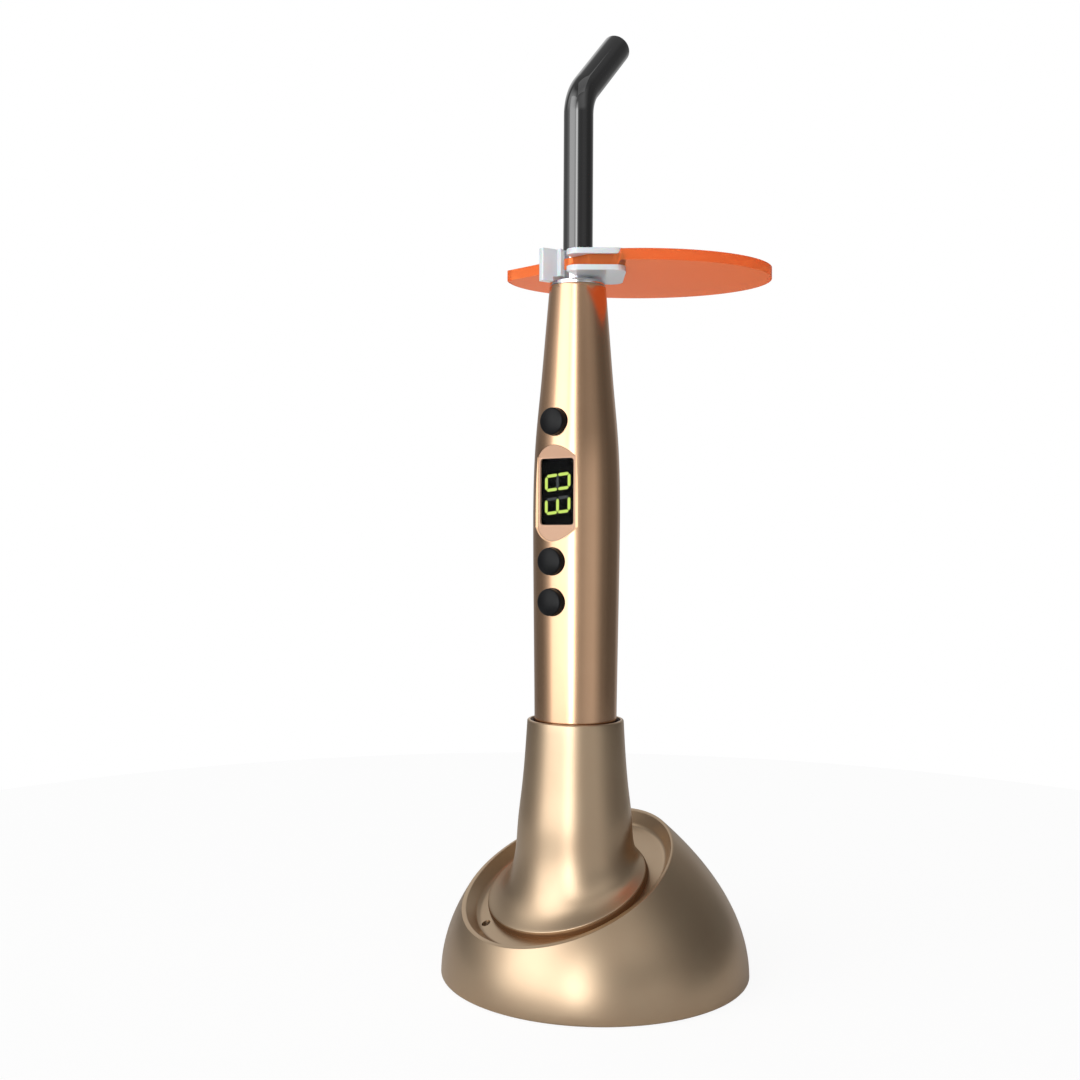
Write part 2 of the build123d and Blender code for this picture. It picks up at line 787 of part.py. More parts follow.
# Inner chassis: a trough behind the control board, closed towards the battery
pcb_back = pcb_front - pcb_t
chassis_r = bore_r - run_gap
chassis_tip_r = cone_start_r - air_gap
with BuildPart() as chassis:
    with BuildSketch(Plane.XZ):
        with BuildLine():
            Polyline(
                (0, chassis_z),
                (chassis_r, chassis_z),
                (chassis_r, tail_z + bore_end_at),
                (chassis_tip_r, tail_z + pcb_end_at),
                (chassis_tip_r - chassis_wall, tail_z + pcb_end_at),
                (chassis_r - chassis_wall, tail_z + bore_end_at),
                (chassis_r - chassis_wall, chassis_z + chassis_floor),
                (0, chassis_z + chassis_floor),
                close=True,
            )
        make_face()
    revolve(axis=Axis.Z)
    with BuildSketch(Plane.XZ.offset(pcb_back)):
        with Locations((0, chassis_z + chassis_floor)):
            Rectangle(4 * bore_r, handpiece_len, align=(Align.CENTER, Align.MIN))
    extrude(amount=2 * bore_r, mode=Mode.SUBTRACT)
chassis.part.label = "chassis"
export_step(chassis.part, "parts/chassis.step")

# Control board, with the buzzer behind it and the three switches in front
with BuildPart() as control_board:
    with BuildSketch(Plane.XZ.offset(pcb_back)):
        with Locations((0, tail_z + pcb_start_at)):
            Rectangle(pcb_w, pcb_step_at - pcb_start_at, align=(Align.CENTER, Align.MIN))
            Rectangle(pcb_top_w, pcb_end_at - pcb_start_at, align=(Align.CENTER, Align.MIN))
    extrude(amount=pcb_t)
control_board.part.label = "control_board"
export_step(control_board.part, "parts/control_board.step")

with BuildPart() as buzzer:
    with BuildSketch(Plane.XZ.offset(pcb_back)):
        with Locations((0, tail_z + pcb_start_at + buzzer_rise)):
            Circle(buzzer_r)
    extrude(amount=-buzzer_t)
buzzer.part.label = "buzzer"
export_step(buzzer.part, "parts/buzzer.step")

with BuildPart() as switches:
    with BuildSketch(Plane.XZ.offset(pcb_front)):
        with Locations([(0, tail_z + at) for at in button_at.values()]):
            Rectangle(switch_w, switch_w)
    extrude(amount=switch_t)
switches.part.label = "switches"
export_step(switches.part, "parts/switches.step")

# Three domed push buttons, each turned in one piece: cap, inner flange and stem
stem_front = pcb_front + switch_t + button_travel + switch_gap
flange_back = button_flange_front - button_flange_t
dome_ball = (button_r**2 + button_dome**2) / (2 * button_dome)
dome_sag = dome_ball - sqrt(dome_ball**2 - (button_r / 2) ** 2)
for button_name, at in button_at.items():
    cap_front = button_barrel_r[button_name] + button_proud
    button_z = tail_z + at
    with BuildPart() as button:
        with BuildSketch(Plane.YZ):
            with BuildLine():
                ThreePointArc(
                    (-cap_front, button_z),
                    (-cap_front + dome_sag, button_z + button_r / 2),
                    (-cap_front + button_dome, button_z + button_r),
                )
                Polyline(
                    (-cap_front + button_dome, button_z + button_r),
                    (-button_flange_front, button_z + button_r),
                    (-button_flange_front, button_z + button_flange_r),
                    (-flange_back, button_z + button_flange_r),
                    (-flange_back, button_z + button_stem_r),
                    (-stem_front, button_z + button_stem_r),
                    (-stem_front, button_z),
                    (-cap_front, button_z),
                )
            make_face()
            cap_corner = (0, -cap_front + button_dome, button_z + button_r)
            fillet(vertices().sort_by_distance(cap_corner)[0], button_edge)
        revolve(axis=Axis((0, 0, button_z), (0, 1, 0)))
    button.part.label = button_name
    export_step(button.part, f"parts/{button_name}.step")

# Display: bezel, window, module and the digits' segments behind the window
window_back = bezel_front + glue_gap - window_t
module_front = window_back - digit_t - glue_gap
with BuildPart() as display_bezel:
    with BuildSketch(Plane.XZ.offset(bezel_front - bezel_t)):
        with BuildLine():
            Bezier(*lobe(1, -1))
            Bezier(*lobe(-1, -1)[::-1])
            Line(lobe(-1, -1)[0], lobe(-1, 1)[0])
            Bezier(*lobe(-1, 1))
            Bezier(*lobe(1, 1)[::-1])
            Line(lobe(1, 1)[0], lobe(1, -1)[0])
        make_face()
        with Locations((0, window_z)):
            RectangleRounded(window_w, window_len, window_round, mode=Mode.SUBTRACT)
    extrude(amount=bezel_t + ramp_out)
    add(panel_room.part, mode=Mode.SUBTRACT)
display_bezel.part.label = "display_bezel"
export_step(display_bezel.part, "parts/display_bezel.step")

with BuildPart() as display_window:
    with BuildSketch(Plane.XZ.offset(window_back)):
        with Locations((0, window_z)):
            RectangleRounded(
                window_w - 2 * glue_gap, window_len - 2 * glue_gap, window_round - glue_gap
            )
    extrude(amount=window_t)
display_window.part.label = "display_window"
export_step(display_window.part, "parts/display_window.step")

with BuildPart() as display_module:
    with BuildSketch(Plane.XZ.offset(pcb_front)):
        with Locations((0, window_z)):
            RectangleRounded(
                window_w - 4 * glue_gap, window_len - 4 * glue_gap, window_round - 2 * glue_gap
            )
    extrude(amount=module_front - pcb_front)
display_module.part.label = "display_module"
export_step(display_module.part, "parts/display_module.step")

# Segments a to g as (across, along, upright): the digits lie on their sides, tops to +X
half_w = (digit_w - digit_stroke) / 2
half_l = (digit_len - digit_stroke) / 2
segment_places = {
    "a": (0, half_l, False),
    "b": (half_w, half_l / 2, True),
    "c": (half_w, -half_l / 2, True),
    "d": (0, -half_l, False),
    "e": (-half_w, -half_l / 2, True),
    "f": (-half_w, half_l / 2, True),
    "g": (0, 0, False),
}
shown_digits = ("abcdef", "abcdg")
for segments_name, lit in (("lit_segments", True), ("dark_segments", False)):
    with BuildPart() as segments:
        for digit, shown in enumerate(shown_digits):
            middle_z = tail_z + pcb_start_at + digits_rise + digit_pitch * (0.5 - digit)
            for segment, (across, along, upright) in segment_places.items():
                if (segment in shown) is not lit:
                    continue
                length = half_l if upright else 2 * half_w
                reach = length / 2 - digit_gap
                half = digit_stroke / 2
                bar = [(-reach, 0), (-reach + half, half), (reach - half, half)]
                bar = bar + [(-x, -y) for x, y in bar]
                if upright:
                    bar = [(along + x, y - across) for x, y in bar]
                else:
                    bar = [(along + y, x - across) for x, y in bar]
                bar = [(x, z + x * tan(radians(digit_lean)) + middle_z) for x, z in bar]
                with BuildSketch(Plane.XZ.offset(module_front)):
                    with BuildLine():
                        Polyline(bar, close=True)
                    make_face()
                extrude(amount=digit_t)
    segments.part.label = segments_name
    export_step(segments.part, f"parts/{segments_name}.step")

# Light engine: heat sink, emitter board and lens
cone_slope = (cone_start_r - cone_end_r) / (handpiece_len - seat_h - cone_start_at)
sink_low_r = cone_start_r - cone_slope * (sink_start_at - cone_start_at) - run_gap
sink_high_r = cone_start_r - cone_slope * (sink_end_at - cone_start_at) - run_gap
with BuildPart() as heat_sink:
    with BuildSketch(Plane.XZ):
        with BuildLine():
            Polyline(
                (sink_hole_r, tail_z + sink_start_at),
                (sink_low_r, tail_z + sink_start_at),
                (sink_high_r, tail_z + sink_end_at),
                (sink_hole_r, tail_z + sink_end_at),
                close=True,
            )
        make_face()
    revolve(axis=Axis.Z)
heat_sink.part.label = "heat_sink"
export_step(heat_sink.part, "parts/heat_sink.step")

emitter_z = tail_z + sink_end_at
with BuildPart() as led_emitter:
    with BuildSketch(Plane.XY.offset(emitter_z)):
        Circle(emitter_r)
    extrude(amount=emitter_t)
    with BuildSketch(Plane.XZ):
        with BuildLine():
            Line((0, emitter_z + emitter_t), (emitter_dome_r, emitter_z + emitter_t))
            CenterArc((0, emitter_z + emitter_t), emitter_dome_r, 0, 90)
            Line((0, emitter_z + emitter_t + emitter_dome_r), (0, emitter_z + emitter_t))
        make_face()
    revolve(axis=Axis.Z)
led_emitter.part.label = "led_emitter"
export_step(led_emitter.part, "parts/led_emitter.step")

spigot_z = nose_z - spigot_len
lens_z = spigot_z + spigot_lip
collar_bore_r = ferrule_r + run_gap
ring_seal_mid_r = collar_bore_r + ring_seal_r
with BuildPart() as lens:
    with BuildSketch(Plane.XZ):
        with BuildLine():
            Polyline(
                (0, lens_z),
                (spigot_lip_r + spigot_lip / 2, lens_z),
                (collar_bore_r - glue_gap, lens_z + spigot_lip),
                (collar_bore_r - glue_gap, lens_z + lens_h),
                (0, lens_z + lens_h),
                close=True,
            )
        make_face()
    revolve(axis=Axis.Z)
lens.part.label = "lens"
export_step(lens.part, "parts/lens.step")

# Bright collar in the nose, bored for the light guide, with a ring seal in its groove
seat_seal_z = lens_z + lens_h + guide_seat
with BuildPart() as nose_collar:
    with BuildSketch(Plane.XY.offset(nose_z)):
        Circle(collar_r)
    extrude(amount=collar_h)
    fillet(nose_collar.edges().sort_by(Axis.Z)[-1], collar_edge)
    with BuildSketch(Plane.XY.offset(spigot_z)):
        Circle(seat_r - glue_gap)
    extrude(amount=spigot_len)
    with BuildSketch(Plane.XY.offset(spigot_z)):
        Circle(spigot_lip_r)
    extrude(amount=spigot_len + collar_h, mode=Mode.SUBTRACT)
    with BuildSketch(Plane.XY.offset(lens_z)):
        Circle(collar_bore_r)
    extrude(amount=spigot_len + collar_h, mode=Mode.SUBTRACT)
    with BuildSketch(Plane.XY.offset(seat_seal_z - ring_seal_r - glue_gap)):
        Circle(ring_seal_mid_r + ring_seal_r + glue_gap)
    extrude(amount=2 * (ring_seal_r + glue_gap), mode=Mode.SUBTRACT)
nose_collar.part.label = "nose_collar"
export_step(nose_collar.part, "parts/nose_collar.step")

with BuildPart() as ring_seal:
    with BuildSketch(Plane.XZ):
        with Locations((ring_seal_mid_r, seat_seal_z)):
            Circle(ring_seal_r)
    revolve(axis=Axis.Z)
ring_seal.part.label = "ring_seal"
export_step(ring_seal.part, "parts/ring_seal.step")

# Light guide: bent glass rod in a bright ferrule
guide_z = lens_z + lens_h + glue_gap
tip_y = guide_tip_len * sin(radians(guide_bend))
tip_z = guide_corner_z + guide_tip_len * cos(radians(guide_bend))
with BuildPart() as guide_rod:
    with BuildLine() as guide_line:
        FilletPolyline((0, 0, guide_z), (0, 0, guide_corner_z), (0, tip_y, tip_z), radius=guide_bend_r)
    with BuildSketch(Plane.XY.offset(guide_z)):
        Circle(guide_r)
    sweep(path=guide_line.wires()[0])
    tip_face = guide_rod.faces().filter_by(GeomType.PLANE).sort_by(Axis.Z)[-1]
    fillet(tip_face.edges(), guide_edge)
guide_rod.part.label = "guide_rod"
export_step(guide_rod.part, "parts/guide_rod.step")

with BuildPart() as guide_ferrule:
    with BuildSketch(Plane.XY.offset(guide_z)):
        Circle(ferrule_r)
        Circle(guide_r + glue_gap / 2, mode=Mode.SUBTRACT)
    extrude(amount=ferrule_top_z - guide_z)
    ferrule_edges = guide_ferrule.edges().group_by(Axis.Z)[-1]
    fillet(ferrule_edges.sort_by(SortBy.RADIUS)[-1], ferrule_edge)
guide_ferrule.part.label = "guide_ferrule"
export_step(guide_ferrule.part, "parts/guide_ferrule.step")


def shield_level(z):
    """A level plane turned with the shield."""
    turn = radians(shield_turn)
    return Plane(origin=(0, 0, z), x_dir=(cos(turn), sin(turn), 0), z_dir=(0, 0, 1))


def around(radius, turn):
    """A point on the shield's plane, by radius and angle."""
    return (radius * cos(radians(turn)), radius * sin(radians(turn)))


# Shield clip: split ring on the ferrule, two flanges for the plate, and a finger tab
lip_z = plate_z + plate_t
tab_mid_r = (clip_tab_r + ferrule_r) / 2
with BuildPart() as shield_clip:
    with BuildSketch(shield_level(clip_z)):
        Circle(clip_r)
        with Locations(clip_flange_at):
            RectangleRounded(clip_flange_x, clip_flange_y, clip_flange_round)
    extrude(amount=clip_flange_t)
    with BuildSketch(shield_level(lip_z)):
        Circle(clip_r)
        with Locations(clip_flange_at):
            RectangleRounded(clip_flange_x, clip_flange_y, clip_flange_round)
    extrude(amount=clip_lip_t)
    with BuildSketch(shield_level(clip_z)):
        Circle(clip_r)
        with Locations(around(tab_mid_r, clip_tab_turn)):
            Rectangle(clip_tab_r - ferrule_r, clip_tab_t, rotation=clip_tab_turn)
    extrude(amount=clip_h)
    with BuildSketch(shield_level(clip_z - clip_tab_skirt)):
        with Locations(around((clip_tab_r + clip_tab_skirt_r) / 2, clip_tab_turn)):
            Rectangle(clip_tab_r - clip_tab_skirt_r, clip_tab_t, rotation=clip_tab_turn)
    extrude(amount=clip_h)
    with BuildSketch(shield_level(clip_z)):
        Circle(ferrule_r + run_gap)
        with Locations(around(clip_r, clip_mouth_turn)):
            Rectangle(2 * clip_r, clip_mouth_w, rotation=clip_mouth_turn)
    extrude(amount=clip_h, mode=Mode.SUBTRACT)
shield_clip.part.label = "shield_clip"
export_step(shield_clip.part, "parts/shield_clip.step")

# Shield plate: tinted oval with a cut corner and a round seat for the clip
chord_mid = around(plate_chord + plate_len, plate_chord_turn)
with BuildPart() as shield_plate:
    with BuildSketch(shield_level(plate_z)):
        with Locations(plate_at):
            Ellipse(plate_len / 2, plate_w / 2)
        with Locations(chord_mid):
            Rectangle(2 * plate_len, 3 * plate_len, rotation=plate_chord_turn, mode=Mode.SUBTRACT)
        with Locations((plate_step_x, plate_step_y)):
            Rectangle(plate_len, plate_w, align=(Align.MAX, Align.MAX), mode=Mode.SUBTRACT)
        fillet(vertices().sort_by(Axis.X)[:-1], plate_round)
        Circle(clip_r + glue_gap, mode=Mode.SUBTRACT)
        with Locations(around(tab_mid_r, clip_tab_turn)):
            Rectangle(
                clip_tab_r - ferrule_r,
                clip_tab_t + 2 * glue_gap,
                rotation=clip_tab_turn,
                mode=Mode.SUBTRACT,
            )
    extrude(amount=plate_t)
shield_plate.part.label = "shield_plate"
export_step(shield_plate.part, "parts/shield_plate.step")
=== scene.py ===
import math

import bmesh
import bpy
import numpy as np
from mathutils import Matrix, Vector


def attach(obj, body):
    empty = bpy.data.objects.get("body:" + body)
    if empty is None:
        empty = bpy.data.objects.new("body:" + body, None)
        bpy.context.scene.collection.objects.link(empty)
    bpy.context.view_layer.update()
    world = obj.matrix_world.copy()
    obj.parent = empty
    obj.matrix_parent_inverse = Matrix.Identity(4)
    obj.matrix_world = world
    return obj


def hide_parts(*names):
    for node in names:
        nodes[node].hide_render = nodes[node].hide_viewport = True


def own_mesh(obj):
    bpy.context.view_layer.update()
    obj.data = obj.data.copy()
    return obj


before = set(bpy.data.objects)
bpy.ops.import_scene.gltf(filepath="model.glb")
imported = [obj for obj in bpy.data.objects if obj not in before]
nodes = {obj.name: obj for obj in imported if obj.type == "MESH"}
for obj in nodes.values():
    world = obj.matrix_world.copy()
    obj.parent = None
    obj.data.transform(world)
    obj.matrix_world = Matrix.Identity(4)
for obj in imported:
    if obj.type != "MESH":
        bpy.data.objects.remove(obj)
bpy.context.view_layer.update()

# Foot pad: a disc of black nitrile rubber under the whole base, die-cut from sheet.
# The sheet's fine grain breaks up what little light reaches its edge.
mm = 0.001
cloud_size = 8 * mm


def srgb(hex_code):
    """A colour written as sRGB hex, turned to linear RGBA."""
    parts = [int(hex_code[i : i + 2], 16) / 255 for i in (1, 3, 5)]
    return [p / 12.92 if p <= 0.04045 else ((p + 0.055) / 1.055) ** 2.4 for p in parts] + [1.0]


def add(tree, kind, values=None, links=None, **settings):
    """Adds a node to a tree, with its settings, its input values and its links."""
    made = tree.nodes.new(kind)
    for name, value in settings.items():
        setattr(made, name, value)
    for name, value in (values or {}).items():
        made.inputs[name].default_value = value
    for name, socket in (links or {}).items():
        tree.links.new(socket, made.inputs[name])
    return made


def finish(name, colour, grain_mm, rough=(0.4, 0.5), relief=0.1, tint=None, **shader_values):
    """A finish whose roughness, relief and tint vary with a grain of a real size in millimetres.

    Object coordinates are metres, so the noise runs at one wave per grain.
    """
    made = bpy.data.materials.new(name)
    made.use_nodes = True
    tree = made.node_tree
    shader = tree.nodes["Principled BSDF"]
    for socket, value in shader_values.items():
        shader.inputs[socket.replace("_", " ")].default_value = value
    shader.inputs["Base Color"].default_value = srgb(colour)
    place = {"Vector": add(tree, "ShaderNodeTexCoord").outputs["Object"]}
    noise = {"Scale": 1 / (grain_mm * mm), "Detail": 3.0, "Roughness": 0.55}
    grain = add(tree, "ShaderNodeTexNoise", noise, place).outputs["Fac"]
    ends = {"To Min": rough[0], "To Max": rough[1]}
    spread = add(tree, "ShaderNodeMapRange", ends, {"Value": grain})
    tree.links.new(spread.outputs["Result"], shader.inputs["Roughness"])
    depth = {"Strength": relief, "Distance": grain_mm * mm / 4}
    bump = add(tree, "ShaderNodeBump", depth, {"Height": grain})
    tree.links.new(bump.outputs["Normal"], shader.inputs["Normal"])
    if tint:
        cloud = add(tree, "ShaderNodeTexNoise", {"Scale": 1 / cloud_size, "Detail": 2.0}, place)
        shades = {"A": srgb(colour), "B": srgb(tint)}
        factor = {"Factor": cloud.outputs["Fac"]}
        blend = add(tree, "ShaderNodeMix", shades, factor, data_type="RGBA")
        tree.links.new(blend.outputs["Result"], shader.inputs["Base Color"])
    return made


def wear(node, material):
    """Gives a CAD node its finish."""
    nodes[node].data.materials.clear()
    nodes[node].data.materials.append(material)


pad_rubber = finish("nitrile rubber, die-cut", "#1B1B1D", 0.6, (0.7, 0.9), 0.4, "#242426")
wear("foot_pad", pad_rubber)

# Bottom cover: injection-moulded black ABS with a spark-eroded texture on its outside.
# It carries the three standoffs of the charging board.
textured_abs = finish("ABS, moulded, spark texture", "#28282A", 0.35, (0.5, 0.68), 0.5)
wear("bottom_cover", textured_abs)

# Ballast: a plate of mild steel, pressed and zinc-plated, that keeps the dock from tipping.
# The plating is dull, with a faint spangle.
zinc = "mild steel, zinc-plated"
zinc_steel = finish(zinc, "#8E9196", 1.8, (0.3, 0.5), 0.1, "#7C8086", Metallic=1.0)
wear("ballast", zinc_steel)

# Dome of the dock: an aluminium shell, bead-blasted and anodised champagne, in one piece with its
# dish. A thin lip runs round the slanted opening, and its rounded edges catch the light.
dock_turn = math.radians(10.8)
dock_shift = 8.0
dome_r = 42.0
dome_h = 54.7
dome_wall = 2.2
crown_wall = 2.6
cut_h = 33.5
cut_tilt = math.radians(24.9)
lip_w = 1.0
lip_round = 0.3
dish_depth = 3.4
dish_slope = 2.4
dish_round = 1.8
dome_foot_z = 0.3
dome_foot_round = 0.6
dome_columns = 256
dome_rows = 44
dome_inner_rows = 12
dome_first_row_z = 2.6
cup_hole_r = 12.35
cut_rise = math.tan(cut_tilt)
cut_normal = Vector((0, -math.sin(cut_tilt), math.cos(cut_tilt)))
dock_matrix = Matrix.Rotation(-dock_turn, 4, "Z") @ Matrix.Translation((0, dock_shift, 0))


def placed(name, data):
    """An object of its own in the scene, at the origin."""
    made = bpy.data.objects.new(name, data)
    bpy.context.scene.collection.objects.link(made)
    return made


def mesh_piece(name, points, faces, material):
    """A mesh piece from points in millimetres, its faces pointing outwards."""
    made = bpy.data.meshes.new(name)
    made.from_pydata([Vector(p) * mm for p in points], [], faces)
    work = bmesh.new()
    work.from_mesh(made)
    bmesh.ops.remove_doubles(work, verts=work.verts, dist=1e-7)
    bmesh.ops.recalc_face_normals(work, faces=work.faces)
    work.to_mesh(made)
    work.free()
    made.materials.append(material)
    return placed(name, made)


def soften(piece, angle=32.0):
    """Smooth shading, kept sharp where faces meet at more than an angle."""
    piece.data.polygons.foreach_set("use_smooth", [True] * len(piece.data.polygons))
    piece.data.set_sharp_from_angle(angle=math.radians(angle))
    return piece


def ring_piece(name, columns, material):
    """A closed ring from columns that are closed loops of the same number of points."""
    rows = len(columns[0])
    points = [p for column in columns for p in column]
    faces = []
    for c in range(len(columns)):
        n = (c + 1) % len(columns)
        for r in range(rows):
            q = (r + 1) % rows
            faces.append((c * rows + r, n * rows + r, n * rows + q, c * rows + q))
    return mesh_piece(name, points, faces, material)


def rounded(corners, steps=5):
    """A path through corners given as (point, radius), with an arc at each radius above zero."""
    path = []
    for i, (corner, radius) in enumerate(corners):
        if radius <= 0:
            path.append(Vector(corner))
            continue
        before = Vector(corners[i - 1][0]) - Vector(corner)
        after = Vector(corners[(i + 1) % len(corners)][0]) - Vector(corner)
        half = before.angle(after) / 2
        reach = min(radius / math.tan(half), before.length * 0.49, after.length * 0.49)
        start = Vector(corner) + before.normalized() * reach
        end = Vector(corner) + after.normalized() * reach
        radius = reach * math.tan(half)
        way = (before.normalized() + after.normalized()).normalized()
        centre = Vector(corner) + way * (radius / math.sin(half))
        for step in range(steps + 1):
            t = step / steps
            spoke = (start - centre).slerp(end - centre, t).normalized()
            path.append(centre + spoke * radius)
    return path


def dome_out(z):
    """Outer radius of the dome at a height."""
    return dome_r * (1 - (z / dome_h) ** 2)


def dome_in(z):
    """Inner radius of the dome at a height."""
    return (dome_r - dome_wall) * (1 - (z / (dome_h - crown_wall)) ** 2)


def cut_z(u, drop=0.0):
    """Height of the slanted opening's plane, or of one below it."""
    return cut_h + cut_rise * u - drop / math.cos(cut_tilt)


def meets(radius_at, angle, drop):
    """Height at which the dome's wall, at an angle round it, meets the slanted plane."""
    low, high = 0.0, dome_h
    for _ in range(50):
        z = (low + high) / 2
        if z < cut_z(radius_at(z) * math.sin(angle), drop):
            low = z
        else:
            high = z
    return low


back_u = dome_out(meets(dome_out, math.pi / 2, 0))
front_u = -dome_out(meets(dome_out, -math.pi / 2, 0))
rim_mid_u = (back_u + front_u) / 2
rim_half_u = (back_u - front_u) / 2 / math.cos(cut_tilt)
rim_mid = Vector((0, rim_mid_u, cut_z(rim_mid_u)))
rim_along = Vector((0, math.cos(cut_tilt), math.sin(cut_tilt)))
rim_half_w = math.sqrt(dome_out(rim_mid.z) ** 2 - rim_mid_u**2)


def dish_point(turn, inset, drop):
    """A point of the dish: round its ellipse, in from the rim, and down from the opening."""
    flat = Vector((math.cos(turn) * (rim_half_w - inset), 0, 0))
    flat += rim_along * (math.sin(turn) * (rim_half_u - inset))
    return rim_mid + flat - cut_normal * drop


dome_profiles = []
for column in range(dome_columns):
    turn = 2 * math.pi * column / dome_columns
    rim = dish_point(turn, 0, 0)
    round_it = math.atan2(rim.y, rim.x)
    top = meets(dome_out, round_it, 0)
    ray = Vector((math.cos(round_it), math.sin(round_it), 0))
    corners = [(ray * dome_in(dome_foot_z) + Vector((0, 0, dome_foot_z)), 0)]
    corners.append((ray * dome_out(dome_foot_z) + Vector((0, 0, dome_foot_z)), dome_foot_round))
    for row in range(1, dome_rows + 1):
        z = dome_first_row_z + (top - dome_first_row_z) * row / dome_rows
        corners.append((ray * dome_out(z) + Vector((0, 0, z)), lip_round if row == dome_rows else 0))
    corners.append((dish_point(turn, lip_w, 0), lip_round))
    corners.append((dish_point(turn, lip_w + dish_slope, dish_depth), dish_round))
    floor_edge = dish_point(turn, lip_w + dish_slope, dish_depth)
    out = Vector((floor_edge.x, floor_edge.y + dock_shift, 0)).normalized() * cup_hole_r
    hole_u = out.y - dock_shift
    corners.append((Vector((out.x, hole_u, cut_z(hole_u, dish_depth))), 0))
    corners.append((Vector((out.x, hole_u, cut_z(hole_u, dish_depth + dome_wall))), 0))
    inner_top = meets(dome_in, round_it, dish_depth + dome_wall)
    corners.append((ray * dome_in(inner_top) + Vector((0, 0, inner_top)), 0))
    for row in range(1, dome_inner_rows):
        z = inner_top + (dome_foot_z - inner_top) * row / dome_inner_rows
        corners.append((ray * dome_in(z) + Vector((0, 0, z)), 0))
    dome_profiles.append([dock_matrix @ p for p in rounded(corners)])

blasted = "aluminium, bead-blasted, champagne anodised"
dock_gold = finish(blasted, "#CBB497", 0.22, (0.3, 0.38), 0.06, "#C6AB8E", Metallic=1.0)
dome = ring_piece("dock_dome", dome_profiles, dock_gold)


def applied(piece):
    """The piece with its modifiers made part of its mesh."""
    shown = piece.evaluated_get(bpy.context.evaluated_depsgraph_get())
    made = bpy.data.meshes.new_from_object(shown)
    piece.modifiers.clear()
    piece.data = made
    return piece


def joined(piece, tool, how="DIFFERENCE"):
    """Cuts a tool from a piece, or joins it on, and drops the tool."""
    step = piece.modifiers.new("cut", "BOOLEAN")
    step.operation = how
    step.solver = "EXACT"
    step.object = tool
    applied(piece)
    bpy.data.objects.remove(tool)
    return piece


def rod(name, base, way, radius, length, steps=48):
    """A plain round bar, used to drill holes or to add a boss."""
    way = Vector(way).normalized()
    side = way.orthogonal().normalized()
    other = way.cross(side)
    points = []
    for end in (0, length):
        for step in range(steps):
            turn = 2 * math.pi * step / steps
            spoke = side * math.cos(turn) + other * math.sin(turn)
            points.append(Vector(base) + way * end + spoke * radius)
    faces = [tuple(range(steps)), tuple(range(steps, 2 * steps))]
    faces += [(s, (s + 1) % steps, steps + (s + 1) % steps, steps + s) for s in range(steps)]
    return mesh_piece(name, points, faces, dock_gold)


light_hole_r = 1.15
light_place = (-12.2, -29.1, 4.0)
light_drill_len = 30
light_at = dock_matrix @ Vector(light_place)
joined(dome, rod("light_drill", light_at, (0, 0, 1), light_hole_r, light_drill_len))
jack_pocket_r = 5.0
jack_pocket_len = 12
jack_nose_r = 4.05
jack_nose_len = 8
jack_boss_r = 7.2
jack_z = 14.6
jack_face_u = 36.0
jack_way = (dock_matrix @ Vector((0, 1, 0))) - (dock_matrix @ Vector((0, 0, 0)))
jack_face = dock_matrix @ Vector((0, jack_face_u, jack_z))
jack_back = jack_face - jack_way * dome_wall
jack_nose = jack_face - jack_way * (jack_nose_len / 2)
joined(dome, rod("jack_boss", jack_back, jack_way, jack_boss_r, dome_wall), "UNION")
joined(dome, rod("jack_pocket", jack_face, jack_way, jack_pocket_r, jack_pocket_len))
joined(dome, rod("jack_drill", jack_nose, jack_way, jack_nose_r, jack_nose_len))
soften(dome, 28)


def follow_form(piece, normal_at, near=0.985):
    """Sets a mesh's normals from its true form, so that cut edges leave no marks in its gloss."""
    made = piece.data
    normals = []
    for face in made.polygons:
        for corner in face.loop_indices:
            point = made.vertices[made.loops[corner].vertex_index].co / mm
            true = normal_at(point)
            smooth = true is not None and true.dot(face.normal) > near
            normals.append(true if smooth else made.corner_normals[corner].vector.copy())
    made.normals_split_custom_set(normals)


dock_inverse = dock_matrix.inverted()
plain_from_z = 2.5
on_form = 0.02


def dome_normal(point):
    """Outward direction of the dome at a point on its outer wall, or None elsewhere."""
    local = dock_inverse @ point
    radius = math.hypot(local.x, local.y)
    if local.z < plain_from_z or abs(radius - dome_out(local.z)) > on_form:
        return None
    fall = 2 * dome_r * local.z / dome_h**2
    out = Vector((local.x / radius, local.y / radius, fall)).normalized()
    return (dock_matrix.to_3x3() @ out).normalized()


follow_form(dome, dome_normal)
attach(dome, "dock")
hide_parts("dock_shell")

# Cup: spun and turned aluminium in the same champagne finish. Its oval foot sits in the dish and
# flares up into a round tube with a rolled lip, and one straight bore runs through it.
cup_mouth_r = 13.0
cup_waist_r = 14.5
cup_tube_r = 15.4
cup_top_z = 69.8
cup_waist_z = 50.4
cup_tube_z = 42.3
cup_foot_shift = 3.4
cup_foot_w = 22.8
cup_foot_u = 19.05
cup_foot_drop = 1.5
cup_bore_r = 12.13
cup_lip_round = 0.7
cup_foot_round = 0.3
cup_bore_round = 0.2
cup_columns = 192
cup_rows = 60
flare_front = (1.0, 0.55, 0.25, 0.08, 0.0)
flare_back = (1.0, 0.38, 0.13, 0.04, 0.0)
flare_rise = (0.0, 0.16, 0.39, 0.665, 1.0)


